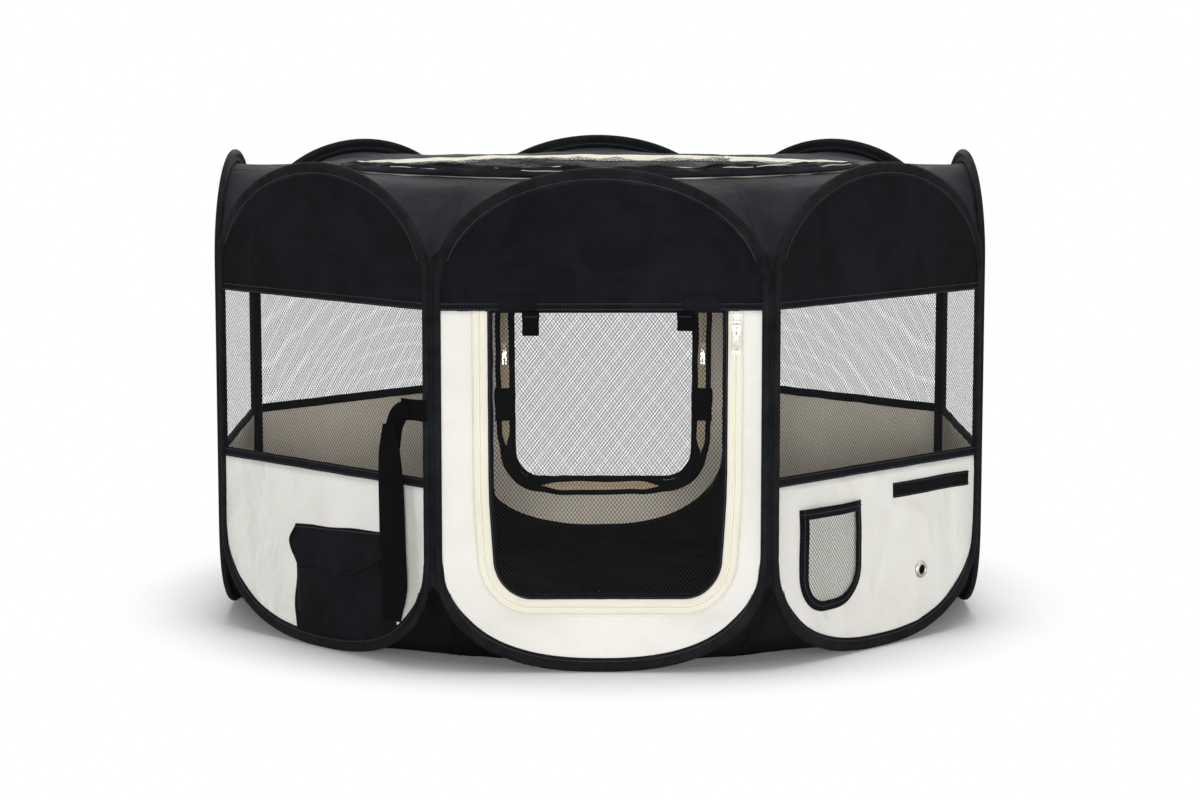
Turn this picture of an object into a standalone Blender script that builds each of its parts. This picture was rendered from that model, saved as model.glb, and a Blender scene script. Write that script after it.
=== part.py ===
"""Foldable dog playpen: eight sprung fabric panels joined in a ring, with a floor, a roof and two zip doors.

Every panel is a steel hoop in a cloth sleeve. Below the black upper band it holds a net window and a
cream skirt, or on the front and the rear a zipped net door. The floor and the roof are eight gores, one
sewn to each panel, and a round net cover is zipped into the roof. The panels fold flat in four layers.

Frame: the origin is on the ground at the middle of the pen, +Z is up and the front panel faces -Y.
A panel is drawn in its own frame: X runs along it to the right as seen from outside, Z is up and -Y
points out of the pen. Lengths are metres.
"""

import math
from dataclasses import dataclass

import bmesh
import bpy
from mathutils import Matrix, Vector

# Whole pen
PANEL_COUNT = 8
PANEL_WIDTH = 0.388
PANEL_HEIGHT = 0.58
HALF_TURN = math.pi / PANEL_COUNT
APOTHEM = PANEL_WIDTH / 2 / math.tan(HALF_TURN)
SEWN_GAP = 0.0003
WELD_DISTANCE = 1e-6

# Hoop: spring wire in a split cloth sleeve
WIRE_RADIUS = 0.00175
SLEEVE_HALF_WIDTH = 0.006
SLEEVE_LIP = 0.007
SLEEVE_BEVEL = 0.0025
SLEEVE_LIP_TAPER = 0.002
SLEEVE_HALF_DEPTH = 0.0045
SLEEVE_CHANNEL = 0.0029
SLIT_HALF_GAP = 0.0009
SLIT_FLARE = 0.0002
SLEEVE_EDGE_SETBACK = 0.003
HOOP_HALF_WIDTH = PANEL_WIDTH / 2 - SLEEVE_EDGE_SETBACK - SLEEVE_HALF_WIDTH
TOP_RISE = 0.124
BOTTOM_RISE = 0.124
BOTTOM_SQUARENESS = 2.4
TOP_STEPS = 8
BOTTOM_STEPS = 10

# Cloth of a panel
CLOTH = 0.0012
BAND_THICKNESS = 0.0024
CLOTH_INSET = 0.0034
BAND_DEPTH = 0.162
BAND_SEAM_Z = PANEL_HEIGHT - BAND_DEPTH
SKIRT_TOP_Z = 0.213
NET_BORDER = 0.012
NET_STRAND = 0.004
WINDOW_GAPS_ACROSS = 6
WINDOW_GAP_ROWS = 5

# Corner seams, which are the fold hinges
INNER_HINGE_OFFSET = 0.005
OUTER_HINGE_OFFSET = 0.008
SEAM_BOTTOM_Z = 0.16
SEAM_ABOVE_BAND = 0.002
SEAM_TOP_Z = BAND_SEAM_Z + SEAM_ABOVE_BAND
SEAM_HALVES_GAP = 0.01
SEAM_CLEARANCE = 0.00015
SEAM_SIDE_CLEARANCE = 0.0002
FLAT_SEAM_CLEARANCE = 0.00035
SEAM_TAPE = 0.001
SEAM_OVERLAP = 0.004
FLAT_SEAM_OVERLAP = 0.0025

# Doors
DOOR_SHIFT = 0.009
DOOR_SIDE_CLOTH = 0.0382
DOOR_HALF_WIDTH = HOOP_HALF_WIDTH - DOOR_SIDE_CLOTH
DOOR_BOTTOM_Z = 0.074
DOOR_CORNER_RADIUS = 0.052
DOOR_ZIP_GAP = 0.0004
DOOR_CORNER_STEPS = 4
DOOR_TOP_GAP = 0.0005
DOOR_GAPS_ACROSS = 5
DOOR_GAP_ROWS = 8
DOOR_TAPE_WIDTH = 0.010
DOOR_AXIS_OUT = 0.0015
TIE_TAB_WIDTH = 0.019
TIE_TAB_LENGTH = 0.025
TIE_TAB_THICKNESS = 0.0008
TIE_TAB_INSET = 0.0583

# Zip sliders
SLIDER_WIDTH = 0.008
SLIDER_LENGTH = 0.017
SLIDER_HEIGHT = 0.0035
SLIDER_DROP = 0.016
SLIDER_TOP_Z = BAND_SEAM_Z - SLIDER_DROP
SLIDER_DOOR_GAP = 0.0007
PULL_WIDTH = 0.006
PULL_LENGTH = 0.016
PULL_HOLE_WIDTH = 0.0024
PULL_HOLE_LENGTH = 0.004

# Floor and roof
FLOOR_LIFT = 0.0012
GORE_GAP = 0.0009
GORE_COLUMNS = 8
FLOOR_ROWS = (0.0, 0.1, 0.2, 0.3, 1.0)
FLOOR_SLOPE_END = 0.3
FLOOR_SLOPE_POWER = 1.6
FLOOR_HUB_RADIUS = 0.003
GORE_TIP_HALF_WIDTH = 0.0002
ROOF_ROWS = (0.0, 0.16, 0.45, 1.0)
ROOF_SLOPE_POWER = 3.0
ROOF_DEPTH = 0.1369
ROOF_OPENING_RADIUS = APOTHEM - ROOF_DEPTH
ROOF_DIP = 0.0206
ROOF_OPENING_Z = PANEL_HEIGHT - ROOF_DIP

# Roof zip and cover
RING_GAP = 0.0015
RING_WIDTH = 0.012
RING_OUTER_RADIUS = ROOF_OPENING_RADIUS - RING_GAP
RING_INNER_RADIUS = RING_OUTER_RADIUS - RING_WIDTH
RING_SIDES = 32
COVER_GAP = 0.0004
COVER_RADIUS = RING_INNER_RADIUS - COVER_GAP
COVER_BORDER = 0.016
COVER_GAPS_ACROSS = 6
COVER_GAP_ROWS = 11
ROOF_SLIDER_ANGLE = math.radians(56.0)
ROOF_SLIDER_INSET = 0.0005

# Flap pocket on the front left panel
POCKET_LEFT = -0.047
POCKET_RIGHT = 0.118
POCKET_MOUTH_Z = 0.122
POCKET_BACK_OUT = 0.0009
POCKET_FRONT_OUT = 0.0068
POCKET_WALL = 0.0008
POCKET_RIM_GAP = 0.0005
POCKET_EDGE_STEPS = 6
MOUTH_CUT = 0.01
FLAP_TOP_Z = 0.1565
FLAP_BOTTOM_Z = 0.1062
FLAP_SLANT = 0.0096
FLAP_THICKNESS = 0.001
FLAP_AXIS_OUT = 0.0015
FLAP_AXIS_DROP = 0.0005

# Net bottle pocket, fastener strip and eyelet on the front right panel
BOTTLE_CENTRE = -0.092
BOTTLE_HALF_WIDTH = 0.055
BOTTLE_BOTTOM_Z = 0.056
BOTTLE_TOP_Z = 0.180
BOTTLE_CORNER_RADIUS = 0.046
BOTTLE_FRONT_OUT = 0.0070
BOTTLE_WALL = 0.0015
BOTTLE_BACK_CUT = 0.002
BOTTLE_GAP_DEPTH = 0.002
BOTTLE_GAP_CUT = 0.001
BOTTLE_BORDER = 0.010
BOTTLE_GAPS_ACROSS = 3
BOTTLE_GAP_ROWS = 5
STRIP_LEFT = 0.025
STRIP_RIGHT = 0.167
STRIP_BOTTOM_Z = 0.178
STRIP_HEIGHT = 0.018
STRIP_THICKNESS = 0.0012
EYELET_X = 0.0758
EYELET_Z = 0.092
EYELET_BORE = 0.0019
EYELET_BARREL = 0.0027
EYELET_FLANGE = 0.0055
EYELET_THICKNESS = 0.0014
EYELET_SIDES = 16

# Webbing loop on the front left panel
STRAP_CENTRE = 0.137
STRAP_WIDTH = 0.030
STRAP_THICKNESS = 0.0016
STRAP_AXIS_OUT = 0.0070
STRAP_AXIS_Z = 0.297
STRAP_BOTTOM_Z = 0.054
STRAP_BELLY_OUT = 0.031
STRAP_BACK_OUT = 0.0035
STRAP_SHOULDER = 0.045
STRAP_STEPS = 8
STRAP_BAR_RADIUS = 0.002
STRAP_BAR_SIDES = 8
STRAP_BAR_INSET = 0.001
STRAP_BAR_SEWN = 0.001
STRAP_BAR_END = HOOP_HALF_WIDTH + STRAP_BAR_SEWN

# Ways to turn a flat outline into a panel: on its face, in plan, or in a section seen from its end
FACE = Matrix(((1, 0, 0), (0, 0, -1), (0, 1, 0))).to_4x4()
PLAN = Matrix.Identity(4)
SECTION = Matrix(((0, 0, -1), (-1, 0, 0), (0, 1, 0))).to_4x4()

BLACK = (0.012, 0.012, 0.015, 1.0)
CHARCOAL = (0.040, 0.040, 0.045, 1.0)
CREAM = (0.83, 0.82, 0.78, 1.0)
ZIP_CREAM = (0.86, 0.80, 0.68, 1.0)
NET_GREY = (0.10, 0.10, 0.10, 1.0)
STEEL = (0.55, 0.56, 0.58, 1.0)


@dataclass(frozen=True)
class Panel:
    """One side of the pen: its place in the ring, the seam offsets at its ends, and what it hangs on."""

    name: str
    eighth: int
    left_offset: float
    right_offset: float
    parent: str = ""
    parent_end: int = 0
    door_shift: float | None = None

    def seam(self, end):
        """The fold axis at the left (-1) or right (+1) end, in the panel's own frame."""
        inward = self.left_offset if end < 0 else self.right_offset
        return Vector((end * (PANEL_WIDTH / 2 - inward * math.tan(HALF_TURN)), inward, 0))

    def frame(self):
        """The panel's own frame in the world."""
        turn = Matrix.Rotation(2 * HALF_TURN * self.eighth, 4, "Z")
        return turn @ Matrix.Translation((0, -APOTHEM, 0))


PANELS = (
    Panel("front", 0, 0.0, INNER_HINGE_OFFSET, door_shift=DOOR_SHIFT),
    Panel("front_right", 1, INNER_HINGE_OFFSET, -OUTER_HINGE_OFFSET, "front", -1),
    Panel("right", 2, -OUTER_HINGE_OFFSET, INNER_HINGE_OFFSET, "front_right", -1),
    Panel("rear_right", 3, INNER_HINGE_OFFSET, 0.0, "right", -1),
    Panel("rear", 4, 0.0, INNER_HINGE_OFFSET, "rear_right", -1, door_shift=-DOOR_SHIFT),
    Panel("front_left", 7, INNER_HINGE_OFFSET, 0.0, "front", 1),
    Panel("left", 6, -OUTER_HINGE_OFFSET, INNER_HINGE_OFFSET, "front_left", 1),
    Panel("rear_left", 5, INNER_HINGE_OFFSET, -OUTER_HINGE_OFFSET, "left", 1),
)


def clear_scene():
    """Remove every object of the opened file."""
    for item in list(bpy.data.objects):
        bpy.data.objects.remove(item, do_unlink=True)


def make_collection(name):
    """Make a collection in the scene."""
    made = bpy.data.collections.new(name)
    bpy.context.scene.collection.children.link(made)
    return made


def make_material(name, colour, roughness, metallic=0.0):
    """Make a plain Principled material."""
    material = bpy.data.materials.new(name)
    material.use_nodes = True
    material.diffuse_color = colour
    shader = material.node_tree.nodes["Principled BSDF"]
    shader.inputs["Base Color"].default_value = colour
    shader.inputs["Roughness"].default_value = roughness
    shader.inputs["Metallic"].default_value = metallic
    return material


def to_mesh_object(curve_object, basis):
    """Replace a curve object by a mesh object of the same name, welded and without slivers."""
    name = curve_object.name
    bpy.context.scene.collection.objects.link(curve_object)
    graph = bpy.context.evaluated_depsgraph_get()
    mesh = bpy.data.meshes.new_from_object(curve_object.evaluated_get(graph))
    bpy.data.objects.remove(curve_object, do_unlink=True)
    shape = bmesh.new()
    shape.from_mesh(mesh)
    bmesh.ops.remove_doubles(shape, verts=shape.verts, dist=WELD_DISTANCE)
    bmesh.ops.beautify_fill(shape, faces=shape.faces, edges=shape.edges, method="ANGLE")
    bmesh.ops.recalc_face_normals(shape, faces=shape.faces)
    shape.to_mesh(mesh)
    shape.free()
    mesh.transform(basis)
    mesh.name = name
    return bpy.data.objects.new(name, mesh)


def extruded(name, outlines, low, high, basis=FACE):
    """A flat outline, with holes after it, given a thickness from low to high across its plane."""
    curve = bpy.data.curves.new(name + "_outline", "CURVE")
    curve.dimensions = "2D"
    curve.fill_mode = "BOTH"
    curve.extrude = (high - low) / 2
    for outline in outlines:
        spline = curve.splines.new("POLY")
        spline.points.add(len(outline) - 1)
        for point, (across, up) in zip(spline.points, outline):
            point.co = (across, up, 0, 1)
        spline.use_cyclic_u = True
    raised = basis @ Matrix.Translation((0, 0, (high + low) / 2))
    return to_mesh_object(bpy.data.objects.new(name, curve), raised)


def swept(name, path, section):
    """A closed loop in the panel's face, swept with a section given as (away from the middle, out)."""
    profile = bpy.data.curves.new(name + "_section", "CURVE")
    profile.dimensions = "2D"
    edge = profile.splines.new("POLY")
    edge.points.add(len(section) - 1)
    for point, (away, out) in zip(edge.points, section):
        point.co = (-away, out, 0, 1)
    edge.use_cyclic_u = True
    section_object = bpy.data.objects.new(name + "_section", profile)
    bpy.context.scene.collection.objects.link(section_object)

    curve = bpy.data.curves.new(name + "_path", "CURVE")
    curve.dimensions = "2D"
    curve.fill_mode = "NONE"
    curve.bevel_mode = "OBJECT"
    curve.bevel_object = section_object
    add_loop(curve, path)
    made = to_mesh_object(bpy.data.objects.new(name, curve), FACE)
    bpy.data.objects.remove(section_object, do_unlink=True)
    return made


def add_loop(curve, path):
    """Add a closed run of straight pieces to a curve."""
    spline = curve.splines.new("POLY")
    spline.points.add(len(path) - 1)
    for point, (across, up) in zip(spline.points, path):
        point.co = (across, up, 0, 1)
    spline.use_cyclic_u = True


def box(name, low, high):
    """A box between two corners."""
    mesh = bpy.data.meshes.new(name)
    shape = bmesh.new()
    bmesh.ops.create_cube(shape, size=1.0)
    size = Vector(high) - Vector(low)
    bmesh.ops.scale(shape, verts=shape.verts, vec=size)
    bmesh.ops.translate(shape, verts=shape.verts, vec=(Vector(high) + Vector(low)) / 2)
    shape.to_mesh(mesh)
    shape.free()
    return bpy.data.objects.new(name, mesh)


def bar(name, start, end, radius, sides):
    """A round bar along X."""
    mesh = bpy.data.meshes.new(name)
    shape = bmesh.new()
    length = end[0] - start[0]
    bmesh.ops.create_cone(
        shape, cap_ends=True, segments=sides, radius1=radius, radius2=radius, depth=length
    )
    bmesh.ops.rotate(shape, verts=shape.verts, matrix=Matrix.Rotation(math.pi / 2, 3, "Y"))
    bmesh.ops.translate(shape, verts=shape.verts, vec=(Vector(start) + Vector(end)) / 2)
    shape.to_mesh(mesh)
    shape.free()
    return bpy.data.objects.new(name, mesh)


def sheet(name, columns, rows, place, thickness):
    """A cloth sheet: a grid whose points are placed by a rule, given its thickness."""
    mesh = bpy.data.meshes.new(name)
    shape = bmesh.new()
    bmesh.ops.create_grid(shape, x_segments=columns, y_segments=len(rows) - 1, size=1.0)
    for vert in shape.verts:
        row = round((vert.co.y + 1) / 2 * (len(rows) - 1))
        vert.co = place(vert.co.x, rows[row])
    bmesh.ops.recalc_face_normals(shape, faces=shape.faces)
    shape.to_mesh(mesh)
    shape.free()
    made = bpy.data.objects.new(name, mesh)
    solidify = made.modifiers.new("Cloth thickness", "SOLIDIFY")
    solidify.thickness = thickness
    solidify.offset = 0.0
    return made


def combine(target, tool, operation, cutters):
    """Join a tool to the target, or cut it out, and keep the tool as a hidden guide."""
    cutters.objects.link(tool)
    tool.hide_render = True
    tool.display_type = "WIRE"
    modifier = target.modifiers.new(tool.name, "BOOLEAN")
    modifier.operation = operation
    modifier.solver = "EXACT"
    modifier.object = tool
    return tool


def arch_drop(across, half_width, rise, squareness=2.0):
    """How far the hoop's rounded end has curved away from its middle, at a distance across."""
    share = min(abs(across) / half_width, 1.0)
    return rise * (1 - (1 - share**squareness) ** (1 / squareness))


def rounded_end(half_width, rise, squareness, steps):
    """Points of a rounded end from the right side over to the left, as (across, away from the sides)."""
    points = []
    for step in range(steps + 1):
        angle = math.pi * step / steps
        across = math.copysign(abs(math.cos(angle)) ** (2 / squareness), math.cos(angle))
        away = abs(math.sin(angle)) ** (2 / squareness)
        points.append((half_width * across, rise * away))
    return points


def top_end(inset):
    """The top of the hoop, moved inwards by inset, from right to left."""
    base = PANEL_HEIGHT - SLEEVE_HALF_WIDTH - TOP_RISE
    arch = rounded_end(HOOP_HALF_WIDTH - inset, TOP_RISE - inset, 2.0, TOP_STEPS)
    return [(across, base + up) for across, up in arch]


def bottom_end(inset):
    """The bottom of the hoop, moved inwards by inset, from left to right."""
    base = SLEEVE_HALF_WIDTH + BOTTOM_RISE
    arch = rounded_end(
        HOOP_HALF_WIDTH - inset, BOTTOM_RISE - inset, BOTTOM_SQUARENESS, BOTTOM_STEPS
    )
    return [(across, base - down) for across, down in reversed(arch)]


def rectangle(left, bottom, right, top):
    """Corners of a rectangle, anticlockwise."""
    return [(left, bottom), (right, bottom), (right, top), (left, top)]


def u_shape(centre, half_width, bottom, top, radius):
    """A straight-topped outline with two round bottom corners, anticlockwise from its top left."""
    points = [(centre - half_width, top)]
    for side, first in ((-1, math.pi), (1, 1.5 * math.pi)):
        middle = centre + side * (half_width - radius)
        for step in range(DOOR_CORNER_STEPS + 1):
            angle = first + math.pi / 2 * step / DOOR_CORNER_STEPS
            points.append(
                (middle + radius * math.cos(angle), bottom + radius + radius * math.sin(angle))
            )
    points.append((centre + half_width, top))
    return points


def diamonds(left, bottom, right, top, across, rows, inside=lambda x, z: True):
    """Diamond gaps of a net in a rectangle, in rows that are staggered by half a gap."""
    pitch_x = (right - left) / across
    pitch_z = (top - bottom) / rows
    half_x = (pitch_x - NET_STRAND) / 2
    half_z = (pitch_z * 2 - NET_STRAND * 2) / 2
    gaps = []
    for row in range(rows - 1):
        z = bottom + (row + 1) * pitch_z
        count = across if row % 2 == 0 else across - 1
        start = left + pitch_x * (0.5 if row % 2 == 0 else 1.0)
        for column in range(count):
            x = start + column * pitch_x
            corners = [(x - half_x, z), (x, z - half_z), (x + half_x, z), (x, z + half_z)]
            if all(inside(*corner) for corner in corners):
                gaps.append(corners)
    return gaps


def hoop_path():
    """The wire's centre line, anticlockwise from the right side's top."""
    return top_end(0.0) + bottom_end(0.0)


def sleeve_section():
    """The sleeve's split section: outside, then the lips of the slit and the wire's channel."""
    half = SLEEVE_HALF_WIDTH
    deep = SLEEVE_HALF_DEPTH
    lip = SLEEVE_LIP
    slit = SLIT_HALF_GAP
    room = SLEEVE_CHANNEL
    shoulder = half - SLEEVE_BEVEL
    return [
        (-lip, slit),
        (-lip + SLEEVE_LIP_TAPER, deep),
        (shoulder, deep),
        (half, 0),
        (shoulder, -deep),
        (-lip + SLEEVE_LIP_TAPER, -deep),
        (-lip, -slit),
        (-room + SLIT_FLARE, -slit),
        (0, -room),
        (room, 0),
        (0, room),
        (-room + SLIT_FLARE, slit),
    ]


def seam_tape(panel, end):
    """The sewn tape from a sleeve's side to the fold axis, in plan, clear of its mirror image."""
    axis = panel.seam(end)
    inner_edge = HOOP_HALF_WIDTH + SLEEVE_HALF_WIDTH - SEAM_OVERLAP
    slope = math.tan(HALF_TURN)

    def limit(inward, clear=SEAM_SIDE_CLEARANCE):
        return PANEL_WIDTH / 2 - inward * slope - clear

    if axis.y > 0:
        near, far = axis.y - SEAM_CLEARANCE, SLEEVE_HALF_DEPTH - SEAM_TAPE
        points = [(inner_edge, near), (inner_edge, far), (limit(far), far)]
        points.append((limit(near), near))
    elif axis.y < 0:
        near, far = axis.y + SEAM_CLEARANCE, -(SLEEVE_HALF_DEPTH - SEAM_TAPE)
        points = [(inner_edge, far), (inner_edge, -SLEEVE_HALF_DEPTH)]
        points += [(limit(near) - SEAM_TAPE * 2, near), (limit(near), near), (limit(far), far)]
    else:
        half = SEAM_TAPE / 2
        inner_edge += SEAM_OVERLAP - FLAT_SEAM_OVERLAP
        points = [(inner_edge, half), (inner_edge, -half)]
        points += [(limit(face, FLAT_SEAM_CLEARANCE), face) for face in (-half, half)]
    return [(end * across, inward) for across, inward in points]


def seam_heights(panel, end):
    """Bottom and top of a seam tape. The outer seams meet when folded, so each pair takes its own half."""
    middle = (SEAM_BOTTOM_Z + SEAM_TOP_Z) / 2
    if panel.seam(end).y >= 0:
        return SEAM_BOTTOM_Z, SEAM_TOP_Z
    if panel.eighth < PANEL_COUNT / 2:
        return SEAM_BOTTOM_Z, middle - SEAM_HALVES_GAP / 2
    return middle + SEAM_HALVES_GAP / 2, SEAM_TOP_Z


def make_sleeve(panel, kit):
    """The hoop's sleeve with the upper band and the two corner seam tapes sewn to it."""
    name = panel.name + "_hoop_sleeve"
    sleeve = swept(name, hoop_path(), sleeve_section())
    kit.add(sleeve, panel, kit.black)
    half = HOOP_HALF_WIDTH - CLOTH_INSET
    outline = [(half, BAND_SEAM_Z)] + top_end(CLOTH_INSET) + [(-half, BAND_SEAM_Z)]
    band = extruded(name + "_band", [outline], -BAND_THICKNESS / 2, BAND_THICKNESS / 2)
    kit.guide(band, panel, sleeve, "UNION")
    for end, label in ((-1, "left"), (1, "right")):
        heights = seam_heights(panel, end)
        tape = extruded(f"{name}_{label}_seam", [seam_tape(panel, end)], *heights, PLAN)
        kit.guide(tape, panel, sleeve, "UNION")


def make_spring(panel, kit):
    """The spring steel hoop inside the sleeve."""
    curve = bpy.data.curves.new(panel.name + "_hoop_spring", "CURVE")
    curve.dimensions = "2D"
    curve.fill_mode = "NONE"
    curve.bevel_depth = WIRE_RADIUS
    curve.bevel_resolution = 1
    add_loop(curve, hoop_path())
    spring = bpy.data.objects.new(panel.name + "_hoop_spring", curve)
    kit.add(to_mesh_object(spring, FACE), panel, kit.steel)


def eyelet_hole(radius):
    """A round hole in the skirt, as an outline."""
    turn = 2 * math.pi / EYELET_SIDES
    return [
        (EYELET_X + radius * math.cos(turn * i), EYELET_Z + radius * math.sin(turn * i))
        for i in range(EYELET_SIDES)
    ]


def make_skirt(panel, kit):
    """The solid cloth in the lower part of a panel without a door."""
    half = HOOP_HALF_WIDTH - CLOTH_INSET
    outline = [(-half, SKIRT_TOP_Z)] + bottom_end(CLOTH_INSET) + [(half, SKIRT_TOP_Z)]
    outlines = [outline]
    if panel.name == "front_right":
        outlines.append(eyelet_hole(EYELET_BARREL + SEWN_GAP))
    skirt = extruded(panel.name + "_skirt", outlines, -CLOTH / 2, CLOTH / 2)
    kit.add(skirt, panel, kit.cream)


def make_window(panel, kit):
    """The net window between the skirt and the upper band."""
    half = HOOP_HALF_WIDTH - CLOTH_INSET
    low, high = SKIRT_TOP_Z + SEWN_GAP, BAND_SEAM_Z - SEWN_GAP
    gaps = diamonds(
        -half + NET_BORDER,
        low + NET_BORDER,
        half - NET_BORDER,
        high - NET_BORDER,
        WINDOW_GAPS_ACROSS,
        WINDOW_GAP_ROWS,
    )
    outline = rectangle(-half, low, half, high)
    window = extruded(panel.name + "_mesh_window", [outline] + gaps, -CLOTH / 2, CLOTH / 2)
    kit.add(window, panel, kit.net)


def make_door(panel, kit):
    """The door leaf of net in its zip tape, with two tie tabs, and the cloth frame around it."""
    half = HOOP_HALF_WIDTH - CLOTH_INSET
    top = BAND_SEAM_Z - SEWN_GAP
    leaf_top = BAND_SEAM_Z - DOOR_TOP_GAP
    centre = panel.door_shift
    opening = u_shape(
        centre,
        DOOR_HALF_WIDTH + DOOR_ZIP_GAP,
        DOOR_BOTTOM_Z - DOOR_ZIP_GAP,
        top,
        DOOR_CORNER_RADIUS + DOOR_ZIP_GAP,
    )
    outline = [(-half, top)] + bottom_end(CLOTH_INSET) + [(half, top)] + opening[::-1]
    surround = extruded(panel.name + "_door_surround", [outline], -CLOTH / 2, CLOTH / 2)
    kit.add(surround, panel, kit.cream)

    edge = u_shape(centre, DOOR_HALF_WIDTH, DOOR_BOTTOM_Z, leaf_top, DOOR_CORNER_RADIUS)
    net_half = DOOR_HALF_WIDTH - DOOR_TAPE_WIDTH
    net_bottom = DOOR_BOTTOM_Z + DOOR_TAPE_WIDTH
    corner = DOOR_CORNER_RADIUS - DOOR_TAPE_WIDTH

    def inside(across, up):
        beyond = abs(across - centre) - (net_half - corner)
        below = net_bottom + corner - up
        return beyond < 0 or below < 0 or math.hypot(beyond, below) < corner

    gaps = diamonds(
        centre - net_half,
        net_bottom,
        centre + net_half,
        leaf_top - NET_BORDER,
        DOOR_GAPS_ACROSS,
        DOOR_GAP_ROWS,
        inside,
    )
    door = panel.name + "_door"
    leaf = extruded(door + "_mesh", [edge] + gaps, -CLOTH / 2, CLOTH / 2)
    kit.hinged(leaf, panel, kit.net, (centre, -DOOR_AXIS_OUT, BAND_SEAM_Z))
    for side, label in ((-1, "left"), (1, "right")):
        across = centre + side * (DOOR_HALF_WIDTH - TIE_TAB_INSET)
        tab_top = leaf_top - DOOR_TOP_GAP
        tab = box(
            f"{door}_{label}_tie_tab",
            (across - TIE_TAB_WIDTH / 2, -CLOTH / 2 - TIE_TAB_THICKNESS, tab_top - TIE_TAB_LENGTH),
            (across + TIE_TAB_WIDTH / 2, 0, tab_top),
        )
        kit.guide(tab, panel, leaf, "UNION")

    slider = slider_shape(panel.name + "_zip_slider")
    across = centre + DOOR_HALF_WIDTH + SLIDER_DOOR_GAP + SLIDER_WIDTH / 2
    seat = Vector((across, -(CLOTH / 2 + SEWN_GAP), SLIDER_TOP_Z))
    slider.data.transform(Matrix.Translation(seat))
    kit.hinged(slider, panel, kit.steel, seat)


def slider_shape(name):
    """A zip slider with its pull hanging down, drawn with its top back edge at the origin."""
    left, bottom_right, top_right, top_left = rectangle(
        -SLIDER_WIDTH / 2, -SLIDER_LENGTH, SLIDER_WIDTH / 2, 0
    )
    tip = SLIDER_LENGTH + PULL_LENGTH
    outline = [
        left,
        (-PULL_WIDTH / 2, -SLIDER_LENGTH),
        (-PULL_WIDTH / 2, -tip),
        (PULL_WIDTH / 2, -tip),
        (PULL_WIDTH / 2, -SLIDER_LENGTH),
        bottom_right,
        top_right,
        top_left,
    ]
    edge = (PULL_WIDTH - PULL_HOLE_WIDTH) / 2
    hole = rectangle(
        -PULL_HOLE_WIDTH / 2, -tip + edge, PULL_HOLE_WIDTH / 2, -tip + edge + PULL_HOLE_LENGTH
    )
    return extruded(name, [outline, hole], 0, SLIDER_HEIGHT)


def gore_place(panel_rise, level, inner_radius, fade):
    """A rule that places a gore's points between its panel and a circle about the pen's middle."""
    start = SLEEVE_HALF_DEPTH + SEWN_GAP + CLOTH / 2
    clear = GORE_GAP / math.cos(HALF_TURN)
    outer_half = PANEL_WIDTH / 2 - start * math.tan(HALF_TURN) - clear
    inner_half = max(inner_radius * math.sin(HALF_TURN) - clear, GORE_TIP_HALF_WIDTH)

    def place(across, inward):
        spread = math.sin(across * math.pi / 2)
        outer = Vector((outer_half * spread, start))
        inner_x = inner_half * spread
        inner = Vector((inner_x, APOTHEM - math.sqrt(inner_radius**2 - inner_x**2)))
        flat = outer.lerp(inner, inward)
        edge = panel_rise(outer.x)
        return Vector((flat.x, flat.y, level + (edge - level) * fade(inward)))

    return place


def make_floor_gore(panel, kit):
    """The panel's share of the floor, which lifts to meet the hoop at its corners."""

    def rise(across):
        drop = arch_drop(across, HOOP_HALF_WIDTH, BOTTOM_RISE, BOTTOM_SQUARENESS)
        return max(SLEEVE_HALF_WIDTH + drop, FLOOR_LIFT)

    def fade(inward):
        return max(0.0, 1 - inward / FLOOR_SLOPE_END) ** FLOOR_SLOPE_POWER

    place = gore_place(rise, FLOOR_LIFT, FLOOR_HUB_RADIUS, fade)
    gore = sheet(panel.name + "_floor_gore", GORE_COLUMNS, FLOOR_ROWS, place, CLOTH)
    kit.add(gore, panel, kit.black)


def make_roof_gore(panel, kit):
    """The panel's share of the roof, from the hoop's arch to the round opening."""

    def rise(across):
        drop = arch_drop(across, HOOP_HALF_WIDTH, TOP_RISE)
        return PANEL_HEIGHT - SLEEVE_HALF_WIDTH - drop

    def fade(inward):
        return (1 - inward) ** ROOF_SLOPE_POWER

    place = gore_place(rise, ROOF_OPENING_Z, ROOF_OPENING_RADIUS, fade)
    gore = sheet(panel.name + "_roof_gore", GORE_COLUMNS, ROOF_ROWS, place, CLOTH)
    kit.add(gore, panel, kit.charcoal)


def bottom_edge(across, inset):
    """Height of the hoop's lower edge, moved inwards by inset, at a distance across."""
    points = bottom_end(inset)
    for (left, left_z), (right, right_z) in zip(points, points[1:]):
        if left <= across <= right:
            return left_z + (right_z - left_z) * (across - left) / (right - left)
    return SLEEVE_HALF_WIDTH + BOTTOM_RISE


def pocket_outline(side_inset, top):
    """The flap pocket's face, whose lower edge follows the hoop's sleeve."""
    inset = SLEEVE_LIP + POCKET_RIM_GAP + side_inset
    left, right = POCKET_LEFT + side_inset, POCKET_RIGHT - side_inset
    points = [(left, top)]
    for step in range(POCKET_EDGE_STEPS + 1):
        across = left + (right - left) * step / POCKET_EDGE_STEPS
        points.append((across, bottom_edge(across, inset) + POCKET_RIM_GAP))
    points.append((right, top))
    return points


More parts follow.
